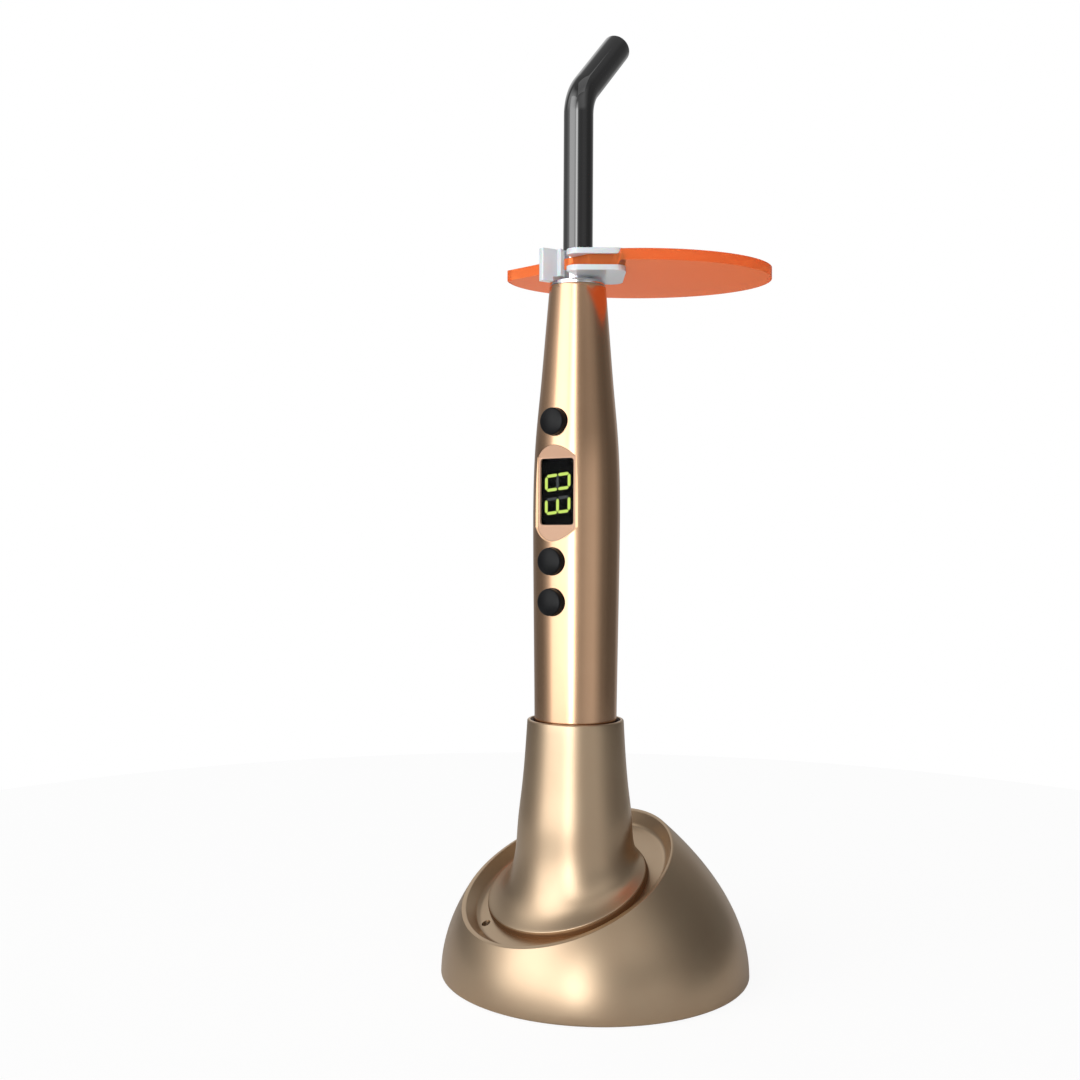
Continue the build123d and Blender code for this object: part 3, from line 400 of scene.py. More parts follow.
def through(points, count):
    """Natural cubic spline through points, by chord length, at an even count of places."""
    points = np.array(points, float)
    knots = np.concatenate([[0], np.cumsum(np.linalg.norm(np.diff(points, axis=0), axis=1))])
    gaps = np.diff(knots)
    size = len(points)
    system = np.eye(size)
    bends = np.zeros(points.shape)
    for i in range(1, size - 1):
        system[i, i - 1 : i + 2] = gaps[i - 1], 2 * (gaps[i - 1] + gaps[i]), gaps[i]
        slope = (points[i + 1] - points[i]) / gaps[i] - (points[i] - points[i - 1]) / gaps[i - 1]
        bends[i] = 6 * slope
    bends = np.linalg.solve(system, bends)
    places = np.linspace(0, knots[-1], count)
    spans = np.clip(np.searchsorted(knots, places, side="right") - 1, 0, size - 2)
    gap = gaps[spans][:, None]
    a = (knots[spans + 1] - places)[:, None] / gap
    b = 1 - a
    curve = a * points[spans] + b * points[spans + 1]
    curve += ((a**3 - a) * bends[spans] + (b**3 - b) * bends[spans + 1]) * gap**2 / 6
    return curve


foot_low = cup_foot_u + cup_foot_shift
foot_high = cup_foot_u - cup_foot_shift
foot_low_z = cut_z(-dock_shift - foot_low, cup_foot_drop)
foot_high_z = cut_z(-dock_shift + foot_high, cup_foot_drop)
cup_profiles = []
feet = []
for column in range(cup_columns):
    turn = 2 * math.pi * column / cup_columns
    stations = []
    for front, back, rise in zip(flare_front, flare_back, flare_rise):
        low = cup_tube_r + front * (foot_low - cup_tube_r)
        high = cup_tube_r + back * (foot_high - cup_tube_r)
        low_z = foot_low_z + rise * (cup_tube_z - foot_low_z)
        high_z = foot_high_z + rise * (cup_tube_z - foot_high_z)
        width = cup_tube_r + (front + back) / 2 * (cup_foot_w - cup_tube_r)
        level = (high - low) / 2 + (high + low) / 2 * math.sin(turn)
        height = (high_z + low_z) / 2 + (high_z - low_z) / 2 * math.sin(turn)
        stations.append((width * math.cos(turn), level - dock_shift, height))
    for radius, z in ((cup_waist_r, cup_waist_z), (cup_mouth_r, cup_top_z)):
        stations.append((radius * math.cos(turn), radius * math.sin(turn) - dock_shift, z))
    side = list(through(stations, cup_rows))
    del side[-3:-1]
    foot = Vector(side[0]) - cut_normal * (dish_depth - cup_foot_drop)
    feet.append(foot)
    bore = Vector((math.cos(turn) * cup_bore_r, math.sin(turn) * cup_bore_r - dock_shift, 0))
    bore_foot_z = cut_z(bore.y, dish_depth)
    corners = [(foot, 0.0), (Vector(side[0]), cup_foot_round)]
    corners += [(Vector(p), 0) for p in side[1:-1]]
    corners += [(Vector(side[-1]), cup_lip_round)]
    corners += [(bore + Vector((0, 0, cup_top_z)), cup_bore_round)]
    corners += [(bore + Vector((0, 0, bore_foot_z)), 0)]
    cup_profiles.append([dock_matrix @ p for p in rounded(corners)])
cup = soften(ring_piece("cup_flared", cup_profiles, dock_gold), 40)
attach(cup, "dock")
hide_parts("cup")

# Groove shade ring: painted shade. It is a thin ring of aluminium, anodised in a darker champagne and
# left unpolished, set in the groove between the cup's foot and the dish. That there is such a ring is
# a guess: its dark colour stands in for the shade that falls in that groove.
shade_ring_w = 0.35
shade_ring_below = 0.35
shade_ring_h = dish_depth - cup_foot_drop - shade_ring_below
shade_ring_in = 0.15
shade_ring_lift = 0.02
shade_ring_steps = 6
painted_shade_name = "aluminium, anodised, dark champagne"
# Painted shade: this ring's dark colour stands in for the shade in the groove round the cup's foot.
painted_shade_gold = finish(painted_shade_name, "#86664A", 0.8, (0.45, 0.55), 0.15, Metallic=1.0)
foot_middle = sum(feet, Vector((0, 0, 0))) / cup_columns
shade_ring_profiles = []
for foot in feet:
    out = foot - foot_middle
    out = (out - cut_normal * out.dot(cut_normal)).normalized()
    bow = []
    for step in range(shade_ring_steps + 1):
        turn = math.pi / 2 * step / shade_ring_steps
        bow.append(foot + out * shade_ring_w * math.cos(turn) + cut_normal * shade_ring_h * math.sin(turn))
    bow.append(foot - out * shade_ring_in + cut_normal * shade_ring_h)
    bow.append(foot - out * shade_ring_in + cut_normal * shade_ring_lift)
    shade_ring_profiles.append([dock_matrix @ p for p in bow])
shade_ring = soften(ring_piece("foot_trim", shade_ring_profiles, painted_shade_gold), 50)
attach(shade_ring, "dock")

# Liner: a tube of dark TPE pushed into the cup, so that the handpiece doesn't scratch.
# Only its rounded upper edge shows, as a dark ring at the mouth.
liner_in_r = 11.45
liner_out_r = 12.05
liner_low_z = 10.4
liner_top_z = 69.6


def spun(name, profile, material, steps=128, place=Matrix.Identity(4), angle=32.0):
    """A turned piece: a closed profile of (radius, height) spun round its axis."""
    points = []
    faces = []
    rows = len(profile)
    for step in range(steps):
        turn = 2 * math.pi * step / steps
        for radius, height in profile:
            point = Vector((radius * math.cos(turn), radius * math.sin(turn), height))
            points.append(place @ point)
    for step in range(steps):
        n = (step + 1) % steps
        for row in range(rows):
            q = (row + 1) % rows
            if profile[row][0] < 1e-6 and profile[q][0] < 1e-6:
                continue
            faces.append((step * rows + row, n * rows + row, n * rows + q, step * rows + q))
    return soften(mesh_piece(name, points, faces, material), angle)


def turned(*corners, steps=5):
    """A closed lathe profile from (radius, height, rounding) corners."""
    path = rounded([(Vector((r, z, 0)), edge) for r, z, edge in corners], steps)
    return [(max(p.x, 0.0), p.y) for p in path]


liner_tpe = finish("TPE, moulded, dark brown", "#33241D", 0.5, (0.55, 0.7), 0.2)
liner = spun(
    "liner_tube",
    turned(
        (liner_in_r, liner_low_z, 0),
        (liner_out_r, liner_low_z, 0),
        (liner_out_r, liner_top_z, 0.25),
        (liner_in_r, liner_top_z, 0.25),
    ),
    liner_tpe,
)
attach(liner, "liner")
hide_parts("cup_liner")

# Screws of the bottom cover: pan-head machine screws of plain steel, each with a cross recess.
# Geometry Nodes put the same screw at the four posts.
screw_places = [(w, u) for w in (-21.99, 21.99) for u in (-21.99, 21.99)]
screw_r = 1.25
screw_head_r = 2.4
screw_head_t = 1.4
screw_seat_z = 1.5
screw_tip_z = 9.5
recess_w = 0.62
recess_depth = 0.9
recess_stretch = 3.2


def geometry_tree(name, **sizes):
    """A Geometry Nodes tree with named sizes as its inputs, and one geometry output."""
    tree = bpy.data.node_groups.new(name, "GeometryNodeTree")
    tree.interface.new_socket("Geometry", in_out="OUTPUT", socket_type="NodeSocketGeometry")
    for size, value in sizes.items():
        kind = "NodeSocket" + type(value).__name__.capitalize()
        made = tree.interface.new_socket(size, in_out="INPUT", socket_type=kind)
        if isinstance(value, (float, int)):
            made.default_value = value
    return tree


def ended(tree, shape, material):
    """Ends a tree: its copies are realized, given their finish and put out."""
    real = add(tree, "GeometryNodeRealizeInstances", links={"Geometry": shape})
    geometry = {"Geometry": real.outputs["Geometry"], "Material": material}
    finished = add(tree, "GeometryNodeSetMaterial", links=geometry)
    add(tree, "NodeGroupOutput", links={"Geometry": finished.outputs["Geometry"]})
    return tree


def grown(name, tree, **sizes):
    """Runs a Geometry Nodes tree on an empty mesh and returns the result as a plain piece."""
    piece = placed(name, bpy.data.meshes.new(name))
    step = piece.modifiers.new(name, "NODES")
    step.node_group = tree
    for socket in tree.interface.items_tree:
        if socket.in_out == "INPUT":
            step[socket.identifier] = sizes[socket.name]
    bpy.context.view_layer.update()
    return applied(piece)


def point_cloud(name, places):
    """A mesh of bare points in millimetres that a tree puts its copies on."""
    made = bpy.data.meshes.new(name)
    made.from_pydata([Vector(p) * mm for p in places], [], [])
    return bpy.data.objects.new(name, made)


def copies_on_points(name):
    """A tree that puts one shape on every point, realized and with its finish set."""
    blank = bpy.data.objects.new("blank", None)
    tree = geometry_tree(name, Shape=blank, Points=blank, Finish=bpy.data.materials[0])
    bpy.data.objects.remove(blank)
    inputs = add(tree, "NodeGroupInput")
    shape = add(tree, "GeometryNodeObjectInfo", links={"Object": inputs.outputs["Shape"]})
    spots = add(tree, "GeometryNodeObjectInfo", links={"Object": inputs.outputs["Points"]})
    copies = add(
        tree,
        "GeometryNodeInstanceOnPoints",
        links={"Points": spots.outputs["Geometry"], "Instance": shape.outputs["Geometry"]},
    )
    return ended(tree, copies.outputs["Instances"], inputs.outputs["Finish"])


plain_steel = finish("steel, cold-headed, bright", "#B9BCC1", 0.8, (0.22, 0.34), 0.08, Metallic=1.0)
screw = spun(
    "cover_screw",
    turned(
        (0, screw_seat_z - screw_head_t, 0),
        (screw_head_r, screw_seat_z - screw_head_t, 0.5),
        (screw_head_r, screw_seat_z, 0.1),
        (screw_r, screw_seat_z, 0.1),
        (screw_r, screw_tip_z, 0.4),
        (0, screw_tip_z, 0),
    ),
    plain_steel,
    steps=48,
)
for turn in (0, math.pi / 2):
    bar = rod("recess", (0, 0, -1), (0, 0, 1), recess_w, 1 + recess_depth, 4)
    bar.data.transform(Matrix.Rotation(turn, 4, "Z") @ Matrix.Diagonal((recess_stretch, 1, 1, 1)))
    joined(screw, bar)
post_cloud = point_cloud("posts", [dock_matrix @ Vector((w, u, 0)) for w, u in screw_places])
copier = copies_on_points("screws_at_posts")
cover_screws = grown("cover_screw_set", copier, Shape=screw, Points=post_cloud, Finish=plain_steel)
bpy.data.objects.remove(screw)
bpy.data.objects.remove(post_cloud)
soften(cover_screws, 30)
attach(cover_screws, "dock")
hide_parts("cover_screws")
wear("cup_screws", plain_steel)

# Both boards: glass-epoxy laminate under a green solder mask, one with the dock's chip light. The
# jack, contact block, buzzer and switches are moulded in black PBT, and the chassis in plain ABS.
solder_mask = finish("FR4, green solder mask", "#1C5A3B", 1.2, (0.28, 0.4), 0.15, "#174E33")
wear("dock_board", solder_mask)
wear("control_board", solder_mask)
chip_white = finish("PPA, white, chip package", "#EFECE0", 0.6, (0.3, 0.42), 0.05)
wear("charge_led", chip_white)
black_pbt = finish("PBT, moulded, black", "#17181B", 0.4, (0.38, 0.5), 0.25)
for moulded in ("dc_jack", "contact_block", "buzzer", "switches"):
    wear(moulded, black_pbt)
textured_inner = finish("ABS, moulded, plain", "#2E2F32", 0.5, (0.4, 0.52), 0.2)
wear("chassis", textured_inner)

# Light pipe: smoked polycarbonate. Its top ends below the dish, so that it reads as a dark hole.
smoked_pc = finish("polycarbonate, smoked", "#1C120D", 2.0, (0.12, 0.2), 0.02, IOR=1.58)
wear("light_pipe", smoked_pc)

# Charging contacts: turned brass, gold-plated, bright and warm.
gold_plate = finish("brass, gold-plated", "#DDB765", 0.5, (0.16, 0.26), 0.05, Metallic=1.0)
pins = ("jack_pin", "pin_sleeves", "centre_pin", "ring_pin")
for contact in pins + ("ring_contact", "centre_contact"):
    wear(contact, gold_plate)

# Springs: wound from nickel-plated spring wire. One tree winds each coil from its own sizes, as an
# open helix of round wire. The two under the sprung pins get meshes of their own.
spring_steel = finish("spring steel, nickel-plated", "#C4C6CA", 0.6, (0.18, 0.28), 0.05, Metallic=1.0)


def spring_tree():
    """Winds a coil: a spiral along Z, swept with a round wire and given its finish."""
    tree = geometry_tree(
        "wound_spring",
        Turns=5.0,
        Radius=0.004,
        Height=0.01,
        Wire=0.0004,
        Steps=32,
        Finish=bpy.data.materials[0],
    )
    inputs = add(tree, "NodeGroupInput")
    helix = add(
        tree,
        "GeometryNodeCurveSpiral",
        links={
            "Resolution": inputs.outputs["Steps"],
            "Rotations": inputs.outputs["Turns"],
            "Start Radius": inputs.outputs["Radius"],
            "End Radius": inputs.outputs["Radius"],
            "Height": inputs.outputs["Height"],
        },
    )
    wire = add(
        tree, "GeometryNodeCurvePrimitiveCircle", {"Resolution": 12}, {"Radius": inputs.outputs["Wire"]}
    )
    tube = add(
        tree,
        "GeometryNodeCurveToMesh",
        {"Fill Caps": True},
        {"Curve": helix.outputs["Curve"], "Profile Curve": wire.outputs["Curve"]},
    )
    return ended(tree, tube.outputs["Mesh"], inputs.outputs["Finish"])


winder = spring_tree()
springs = (
    ("centre_pin_spring", "dock", (0, 0, 10.5), 0.64, 0.14, 1.7, 4.0, "centre_pin_press"),
    ("ring_pin_spring", "dock", (0, 6, 10.5), 0.64, 0.14, 1.7, 4.0, "ring_pin_press"),
    ("battery_spring", "handpiece", (0, 0, 17.5), 4.5, 0.45, 11.8, 6.0, None),
)
for spring, body, base, coil_r, wire_r, height, turns, joint in springs:
    coil = grown(
        spring + "_coil",
        winder,
        Turns=turns,
        Radius=coil_r * mm,
        Height=(height - 2 * wire_r) * mm,
        Wire=wire_r * mm,
        Steps=32,
        Finish=spring_steel,
    )
    coil.data.transform(Matrix.Translation(Vector(base) * mm + Vector((0, 0, wire_r * mm))))
    soften(coil, 60)
    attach(coil, body)
    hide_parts(spring)
    if joint:
        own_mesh(coil)
wear("battery_plate", spring_steel)

# Battery: a lithium cell in a blue PVC shrink sleeve, drawn in over its rounded ends.
shrink_sleeve = finish("PVC shrink sleeve, blue", "#2F6DA6", 3.0, (0.22, 0.34), 0.1)
wear("battery_cell", shrink_sleeve)

# Barrel: aluminium, turned and polished, then anodised in rose champagne. It is glossier than the
# dock, so the studio's lights lie on it in long straight bands.
tail_z = 14.0
cap_top_z = 24.0
nose_z = 186.3
barrel_bore_r = 9.8
seat_r = 5.9
seat_z = 180.3
cone_end_r = 6.35
cone_start = (8.9, 155.0)
bore_end_z = 145.0
barrel_form = (
    (10.8, cap_top_z),
    (11.13, 74.0),
    (11.66, 114.0),
    (11.05, 146.0),
    (10.0, 157.5),
    (8.7, 173.0),
    (7.6, nose_z),
)
window_z = 130.8
window_w = 10.6
window_len = 17.6
panel_w = 11.8
panel_y = 9.6
ramp_slope = math.tan(math.radians(27))
ramp_out = 5.0
room_w = 40
pocket_back = 2
pocket_depth = 14
flats = {-1: (121.5, 3.84), 1: (139.9, 3.24)}
lobe_across = (1, 0.93, 0.4, 0)
lobe_along = (0, 0.42, 1, 1)
button_z = {"start": 149.2, "time": 112.4, "mode": 101.7}
button_r = 3.6
button_gap = 0.15

rose_polish = "aluminium, polished, rose champagne anodised"
handpiece_gold = finish(rose_polish, "#DDB593", 0.3, (0.17, 0.23), 0.03, "#D7AE8B", Metallic=1.0)
barrel_rows = 220
barrel_tail_round = 0.12
barrel_nose_round = 0.25
barrel_wall = through(barrel_form, barrel_rows)
barrel_edge = [(r, z, 0) for r, z in barrel_wall]
barrel_edge[0] = (*barrel_wall[0], barrel_tail_round)
barrel_edge[-1] = (*barrel_wall[-1], barrel_nose_round)
for r, z in ((seat_r, nose_z), (seat_r, seat_z), (cone_end_r, seat_z), cone_start):
    barrel_edge.append((r, z, 0))
barrel_edge.append((barrel_bore_r, bore_end_z, 0))
barrel_edge.append((barrel_bore_r, cap_top_z, 0))
barrel = spun("barrel_turned", turned(*barrel_edge, steps=4), handpiece_gold, steps=224)


def arc(centre, radius, start, end, steps=16):
    """Points on a flat arc, its angles in degrees."""
    turns = [math.radians(start + (end - start) * s / steps) for s in range(steps + 1)]
    return [(centre[0] + radius * math.cos(t), centre[1] + radius * math.sin(t)) for t in turns]


def box_outline(middle, width, length, edge, steps=6):
    """A rectangle with round corners."""
    x, y = width / 2 - edge, length / 2 - edge
    corners = ((x, y, 0), (-x, y, 90), (-x, -y, 180), (x, -y, 270))
    path = []
    for dx, dy, start in corners:
        path += arc((middle[0] + dx, middle[1] + dy), edge, start, start + 90, steps)
    return path


def slab(name, outlines, depth, material, place=Matrix.Identity(4), edge=0.0, steps=3, angle=32.0):
    """A flat piece: closed outlines (the later ones are holes) given a depth and soft edges."""
    drawn = bpy.data.curves.new(name, "CURVE")
    drawn.dimensions = "2D"
    drawn.fill_mode = "BOTH"
    drawn.extrude = depth / 2
    for outline in outlines:
        line = drawn.splines.new("POLY")
        line.points.add(len(outline) - 1)
        line.points.foreach_set("co", [c for x, y in outline for c in (x, y, 0, 1)])
        line.use_cyclic_u = True
    holder = placed(name, drawn)
    shown = holder.evaluated_get(bpy.context.evaluated_depsgraph_get())
    made = bpy.data.meshes.new_from_object(shown)
    bpy.data.objects.remove(holder)
    work = bmesh.new()
    work.from_mesh(made)
    bmesh.ops.remove_doubles(work, verts=work.verts, dist=1e-5)
    bmesh.ops.dissolve_limit(
        work, angle_limit=math.radians(0.5), verts=[], edges=work.edges, delimit={"NORMAL"}
    )
    bmesh.ops.recalc_face_normals(work, faces=work.faces)
    if edge:
        sharp = [e for e in work.edges if len(e.link_faces) == 2 and e.calc_face_angle() > 1.0]
        bmesh.ops.bevel(
            work,
            geom=sharp,
            offset=edge,
            offset_type="OFFSET",
            segments=steps,
            profile=0.5,
            affect="EDGES",
            clamp_overlap=True,
        )
    bmesh.ops.transform(work, matrix=Matrix.Translation((0, 0, depth / 2)), verts=work.verts)
    bmesh.ops.transform(work, matrix=Matrix.Scale(mm, 4) @ place, verts=work.verts)
    work.to_mesh(made)
    work.free()
    made.materials.clear()
    made.materials.append(material)
    return soften(placed(name, made), angle)


def facing_front(back):
    """Places a slab drawn in X and Z so that its back lies on the plane y = -back, facing -Y."""
    return Matrix.Translation((0, -back, 0)) @ Matrix.Rotation(math.pi / 2, 4, "X")


def bezier(t, start, first, second, end):
    """A value along a cubic Bezier curve, from its ends and its two handles."""
    near = (1 - t) ** 3 * start + 3 * (1 - t) ** 2 * t * first
    return near + 3 * (1 - t) * t**2 * second + t**3 * end


def panel_outline(grow=0.0, steps=14):
    """The panel's outline: straight sides and two soft-pointed lobes, each a Bezier curve."""
    path = []
    for end, (flat_z, run) in flats.items():
        half = []
        for step in range(steps + 1):
            x = bezier(step / steps, *lobe_across)
            z = bezier(step / steps, *lobe_along)
            half.append((x * (panel_w / 2 + grow), flat_z + end * z * (run + grow)))
        whole = half + [(-x, z) for x, z in half[-2::-1]]
        path += whole if end < 0 else whole[::-1]
    return path


def panel_room():
    """Room in front of the panel: over its flat, and over the ramp at each end."""
    run = ramp_out / ramp_slope
    corners = [(-panel_y, flats[-1][0]), (-panel_y, flats[1][0])]
    corners += [(-panel_y - ramp_out, flats[1][0] + run), (-panel_y - ramp_out, flats[-1][0] - run)]
    across = Matrix(((0, 0, 1, -room_w / 2), (1, 0, 0, 0), (0, 1, 0, 0), (0, 0, 0, 1)))
    return slab("panel_room", [corners], room_w, handpiece_gold, across)


joined(barrel, panel_room())
pocket_place = facing_front(pocket_back)
joined(barrel, slab("pocket", [panel_outline()], pocket_depth, handpiece_gold, pocket_place))
button_bore_r = button_r + button_gap
for z in button_z.values():
    joined(barrel, rod("button_drill", (0, 0, z), (0, -1, 0), button_bore_r, pocket_depth, 64))
soften(barrel, 30)
nose_rim = 0.3
wall_z = barrel_wall[:, 1]
wall_r = barrel_wall[:, 0]
wall_slope = np.gradient(wall_r, wall_z)


def barrel_normal(point):
    """Outward direction of the barrel's turned surface at a point, or None elsewhere."""
    radius = math.hypot(point.x, point.y)
    off = abs(radius - np.interp(point.z, wall_z, wall_r))
    if off > on_form or point.z > nose_z - nose_rim:
        return None
    slope = float(np.interp(point.z, wall_z, wall_slope))
    return Vector((point.x / radius, point.y / radius, -slope)).normalized()


follow_form(barrel, barrel_normal)
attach(barrel, "handpiece")
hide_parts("barrel")

# Tail cap: turned from the same bar and anodised with the barrel, so the joint hardly shows.
# A shallow recess in its end holds the charging contacts.
tail_edge = 0.5
tail_r = 10.8
tail_joint_z = cap_top_z - 0.02
tail_plug_r = 9.75
tail_plug_in_r = 8.2
tail_plug_z = 29
tail_floor_z = 17.5
tail_recess_r = 8.5
tail_recess_z = 15.22
tail_cap = spun(
    "tail_cap_turned",
    turned(
        (tail_r, tail_z, tail_edge),
        (tail_r, tail_joint_z, barrel_tail_round),
        (tail_plug_r, tail_joint_z, 0),
        (tail_plug_r, tail_plug_z, 0.3),
        (tail_plug_in_r, tail_plug_z, 0.2),
        (tail_plug_in_r, tail_floor_z, 0),
        (0, tail_floor_z, 0),
        (0, tail_recess_z, 0),
        (tail_recess_r, tail_recess_z, 0.3),
        (tail_recess_r, tail_z, 0.2),
    ),
    handpiece_gold,
    steps=160,
)
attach(tail_cap, "handpiece")
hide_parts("tail_cap")
nitrile = finish("nitrile rubber, moulded ring", "#1E1F22", 0.4, (0.35, 0.5), 0.1)
for seal in ("tail_seal", "ring_seal"):
    wear(seal, nitrile)

# Display panel: milled aluminium under a satin rose lacquer, let into a flat of the barrel. Both
# its ends ramp up to the barrel's skin, and it is punched for the window.
panel_edge = 0.12
panel_t = 1.6
panel_gap = 0.05
window_round = 0.9
window_t = 0.4
rose_satin = finish("aluminium, rose lacquer, satin", "#C9A084", 0.25, (0.42, 0.52), 0.06)


def edges_broken(piece, width, steps=3, angle=35.0):
    """Rounds a piece's sharp edges, as a moulding's or a tumbled part's are."""
    step = piece.modifiers.new("edges", "BEVEL")
    step.width = width * mm
    step.segments = steps
    step.limit_method = "ANGLE"
    step.angle_limit = math.radians(angle)
    step.use_clamp_overlap = True
    step.harden_normals = True
    return applied(piece)


window = box_outline((0, window_z), window_w, window_len, window_round)
bezel_outlines = [panel_outline(-panel_gap), window]
bezel_place = facing_front(panel_y - panel_t)
bezel = slab("display_panel", bezel_outlines, panel_t + ramp_out, rose_satin, bezel_place)
joined(bezel, panel_room())
soften(bezel, 20)
edges_broken(bezel, panel_edge, 3, 40)
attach(bezel, "handpiece")
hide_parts("display_bezel")

# Window: a thin pane of clear acrylic, coated against reflections and flush in the panel. The
# black face of the display shows through it.
coated = "acrylic, coated, clear"
clear_acrylic = finish(coated, "#F4F6F7", 4.0, (0.02, 0.05), 0.0, IOR=1.06, Transmission_Weight=1.0)
pane_gap = 0.05
pane_edge = 0.08
pane_size = (window_w - 2 * pane_gap, window_len - 2 * pane_gap, window_round - pane_gap)
pane_outline = box_outline((0, window_z), *pane_size)
pane_place = facing_front(panel_y + pane_gap - window_t)
pane = slab("display_pane", [pane_outline], window_t, clear_acrylic, pane_place, pane_edge)
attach(pane, "handpiece")
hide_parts("display_window")

# Display: a moulded black module whose digits are bars of cast epoxy. The lit bars glow
# yellow-green and the unlit ones stay grey.
cast_black = "epoxy, cast, black"
display_black = finish(cast_black, "#030304", 1.0, (0.3, 0.4), 0.02, Specular_IOR_Level=0.05)
wear("display_module", display_black)
lit_epoxy = finish("epoxy, lit yellow-green", "#1E2A08", 0.5, (0.3, 0.4), 0.0)
lit_shader = lit_epoxy.node_tree.nodes["Principled BSDF"]
lit_shader.inputs["Emission Color"].default_value = srgb("#D2EC66")
lit_shader.inputs["Emission Strength"].default_value = 1.0
wear("lit_segments", lit_epoxy)
grey_epoxy = finish("epoxy, diffusing, unlit grey", "#3B3F40", 0.5, (0.35, 0.45), 0.0)
wear("dark_segments", grey_epoxy)

# Push buttons: three alike, moulded in black ABS with a soft-touch coat and a low dome.
# Each is one turned form: the domed head, the flange that keeps it in and the short stem.
button_front = {"start": 13.35, "time": 14.15, "mode": 14.1}
button_dome = 0.9
button_edge = 0.6
button_flange = (4.0, 8.4, 7.7)
button_stem = (1.4, 7.4)
button_head_steps = 8
button_head_share = 0.86
soft_touch = "ABS, soft-touch, black"
soft_black = finish(soft_touch, "#0B0C0E", 0.3, (0.36, 0.46), 0.12, Specular_IOR_Level=0.2)
for button, front in button_front.items():
    ball = (button_r**2 + button_dome**2) / (2 * button_dome)
    head = []
    for step in range(button_head_steps + 1):
        r = button_r * button_head_share * step / button_head_steps
        head.append((r, front - ball + math.sqrt(ball**2 - r**2), 0))
    flange_r, flange_front, flange_back = button_flange
    shape = turned(
        *head,
        (button_r, front - button_dome, button_edge),
        (button_r, flange_front, 0),
        (flange_r, flange_front, 0.1),
        (flange_r, flange_back, 0.1),
        (button_stem[0], flange_back, 0),
        (button_stem[0], button_stem[1], 0.1),
        (0, button_stem[1], 0),
    )
    place = Matrix.Translation((0, 0, button_z[button])) @ Matrix.Rotation(math.pi / 2, 4, "X")
    cap = spun(button + "_button_cap", shape, soft_black, 64, place, 40)
    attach(cap, button + "_switch")
    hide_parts(button + "_button")

# Light engine: a turned aluminium heat sink, which is dull, an emitter in a white package and a
# moulded glass lens. None of it shows from outside.
turned_aluminium = finish("aluminium, turned", "#BCC0C4", 0.3, (0.25, 0.35), 0.15, Metallic=1.0)
wear("heat_sink", turned_aluminium)
wear("led_emitter", chip_white)
moulded_glass = "borosilicate glass, moulded"
lens_glass = finish(moulded_glass, "#F2F6F8", 4.0, (0.01, 0.03), 0.0, IOR=1.47, Transmission_Weight=1.0)
wear("lens", lens_glass)

# Nose collar: a ring of chromed brass pressed into the nose. Its bore takes the light guide.
collar_r = 7.5
collar_top_z = 187.5
collar_bore_r = 4.83
collar_seal_z = 179.1
collar_low_z = 178.3
collar_throat_r = 4.0
collar_neck_r = 5.85
chrome = finish("brass, chrome-plated", "#D9DBDE", 0.8, (0.06, 0.11), 0.01, Metallic=1.0)
collar = spun(
    "nose_ring",
    turned(
        (collar_r, nose_z, 0.1),
        (collar_r, collar_top_z, 0.35),
        (collar_bore_r, collar_top_z, 0.2),
        (collar_bore_r, collar_seal_z, 0),
        (collar_throat_r, collar_seal_z, 0),
        (collar_throat_r, collar_low_z, 0),
        (collar_neck_r, collar_low_z, 0.1),
        (collar_neck_r, nose_z, 0),
    ),
    chrome,
    160,
)
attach(collar, "handpiece")
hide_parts("nose_collar")

# Light guide: a rod of fused glass fibres in a black jacket, bent by 45 degrees and fire-polished.
# It is almost black, with one long pale reflection. The fibres are too fine to show and aren't drawn.
guide_r = 4.0
guide_z = 183.15
guide_corner_z = 237.7
guide_bend = math.radians(45)
guide_bend_r = 12.0
guide_tip_len = 27.3
guide_edge = 0.4
bend_reach = guide_bend_r * math.tan(guide_bend / 2)
bend_start_z = guide_corner_z - bend_reach
bend_steps = 24
tip_steps = 8
rises = np.linspace(guide_z + guide_edge, bend_start_z, 12)
guide_path = [(Vector((0, 0, z)), Vector((0, 0, 1))) for z in rises]
for step in range(1, bend_steps + 1):
    turn = guide_bend * step / bend_steps
    y = guide_bend_r * (1 - math.cos(turn))
    z = bend_start_z + guide_bend_r * math.sin(turn)
    guide_path.append((Vector((0, y, z)), Vector((0, math.sin(turn), math.cos(turn)))))
bend_end, tip_way = guide_path[-1]
straight = guide_tip_len - bend_reach - guide_edge
for step in range(1, tip_steps + 1):
    guide_path.append((bend_end + tip_way * (straight * step / tip_steps), tip_way))


def swept(name, path, radius, edge, material, steps=96, end_steps=6):
    """A round bar along a path that lies in the YZ plane, with rounded ends and closed faces."""
    rings = []
    for end, sign in ((path[0], -1), (path[-1], 1)):
        rows = []
        for step in range(end_steps + 1):
            turn = math.pi / 2 * step / end_steps
            inset = radius - edge + edge * math.cos(turn)
            rows.append((end[0] + end[1] * sign * edge * math.sin(turn), end[1], inset))
        rings.append(rows)
    spine = rings[0][::-1] + [(p, t, radius) for p, t in path[1:-1]] + rings[1]
    points = []
    for centre, way, size in spine:
        side = Vector((1, 0, 0))
        other = way.cross(side)
        for step in range(steps):
            turn = 2 * math.pi * step / steps
            points.append(centre + (side * math.cos(turn) + other * math.sin(turn)) * size)
    faces = [tuple(range(steps)), tuple(range(len(points) - steps, len(points)))]
    for row in range(len(spine) - 1):
        for step in range(steps):
            n = (step + 1) % steps
            low = row * steps
            faces.append((low + step, low + n, low + steps + n, low + steps + step))
    return soften(mesh_piece(name, points, faces, material), 40)


fused = "glass, fused fibre, black jacket"
gloss = {"IOR": 1.75, "Coat_Weight": 0.7, "Coat_IOR": 1.7, "Coat_Roughness": 0.02}
guide_glass = finish(fused, "#0B0B0C", 1.5, (0.02, 0.04), 0.004, **gloss)
guide = swept("guide_bar", guide_path, guide_r, guide_edge, guide_glass)
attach(guide, "light_guide")
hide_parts("guide_rod")

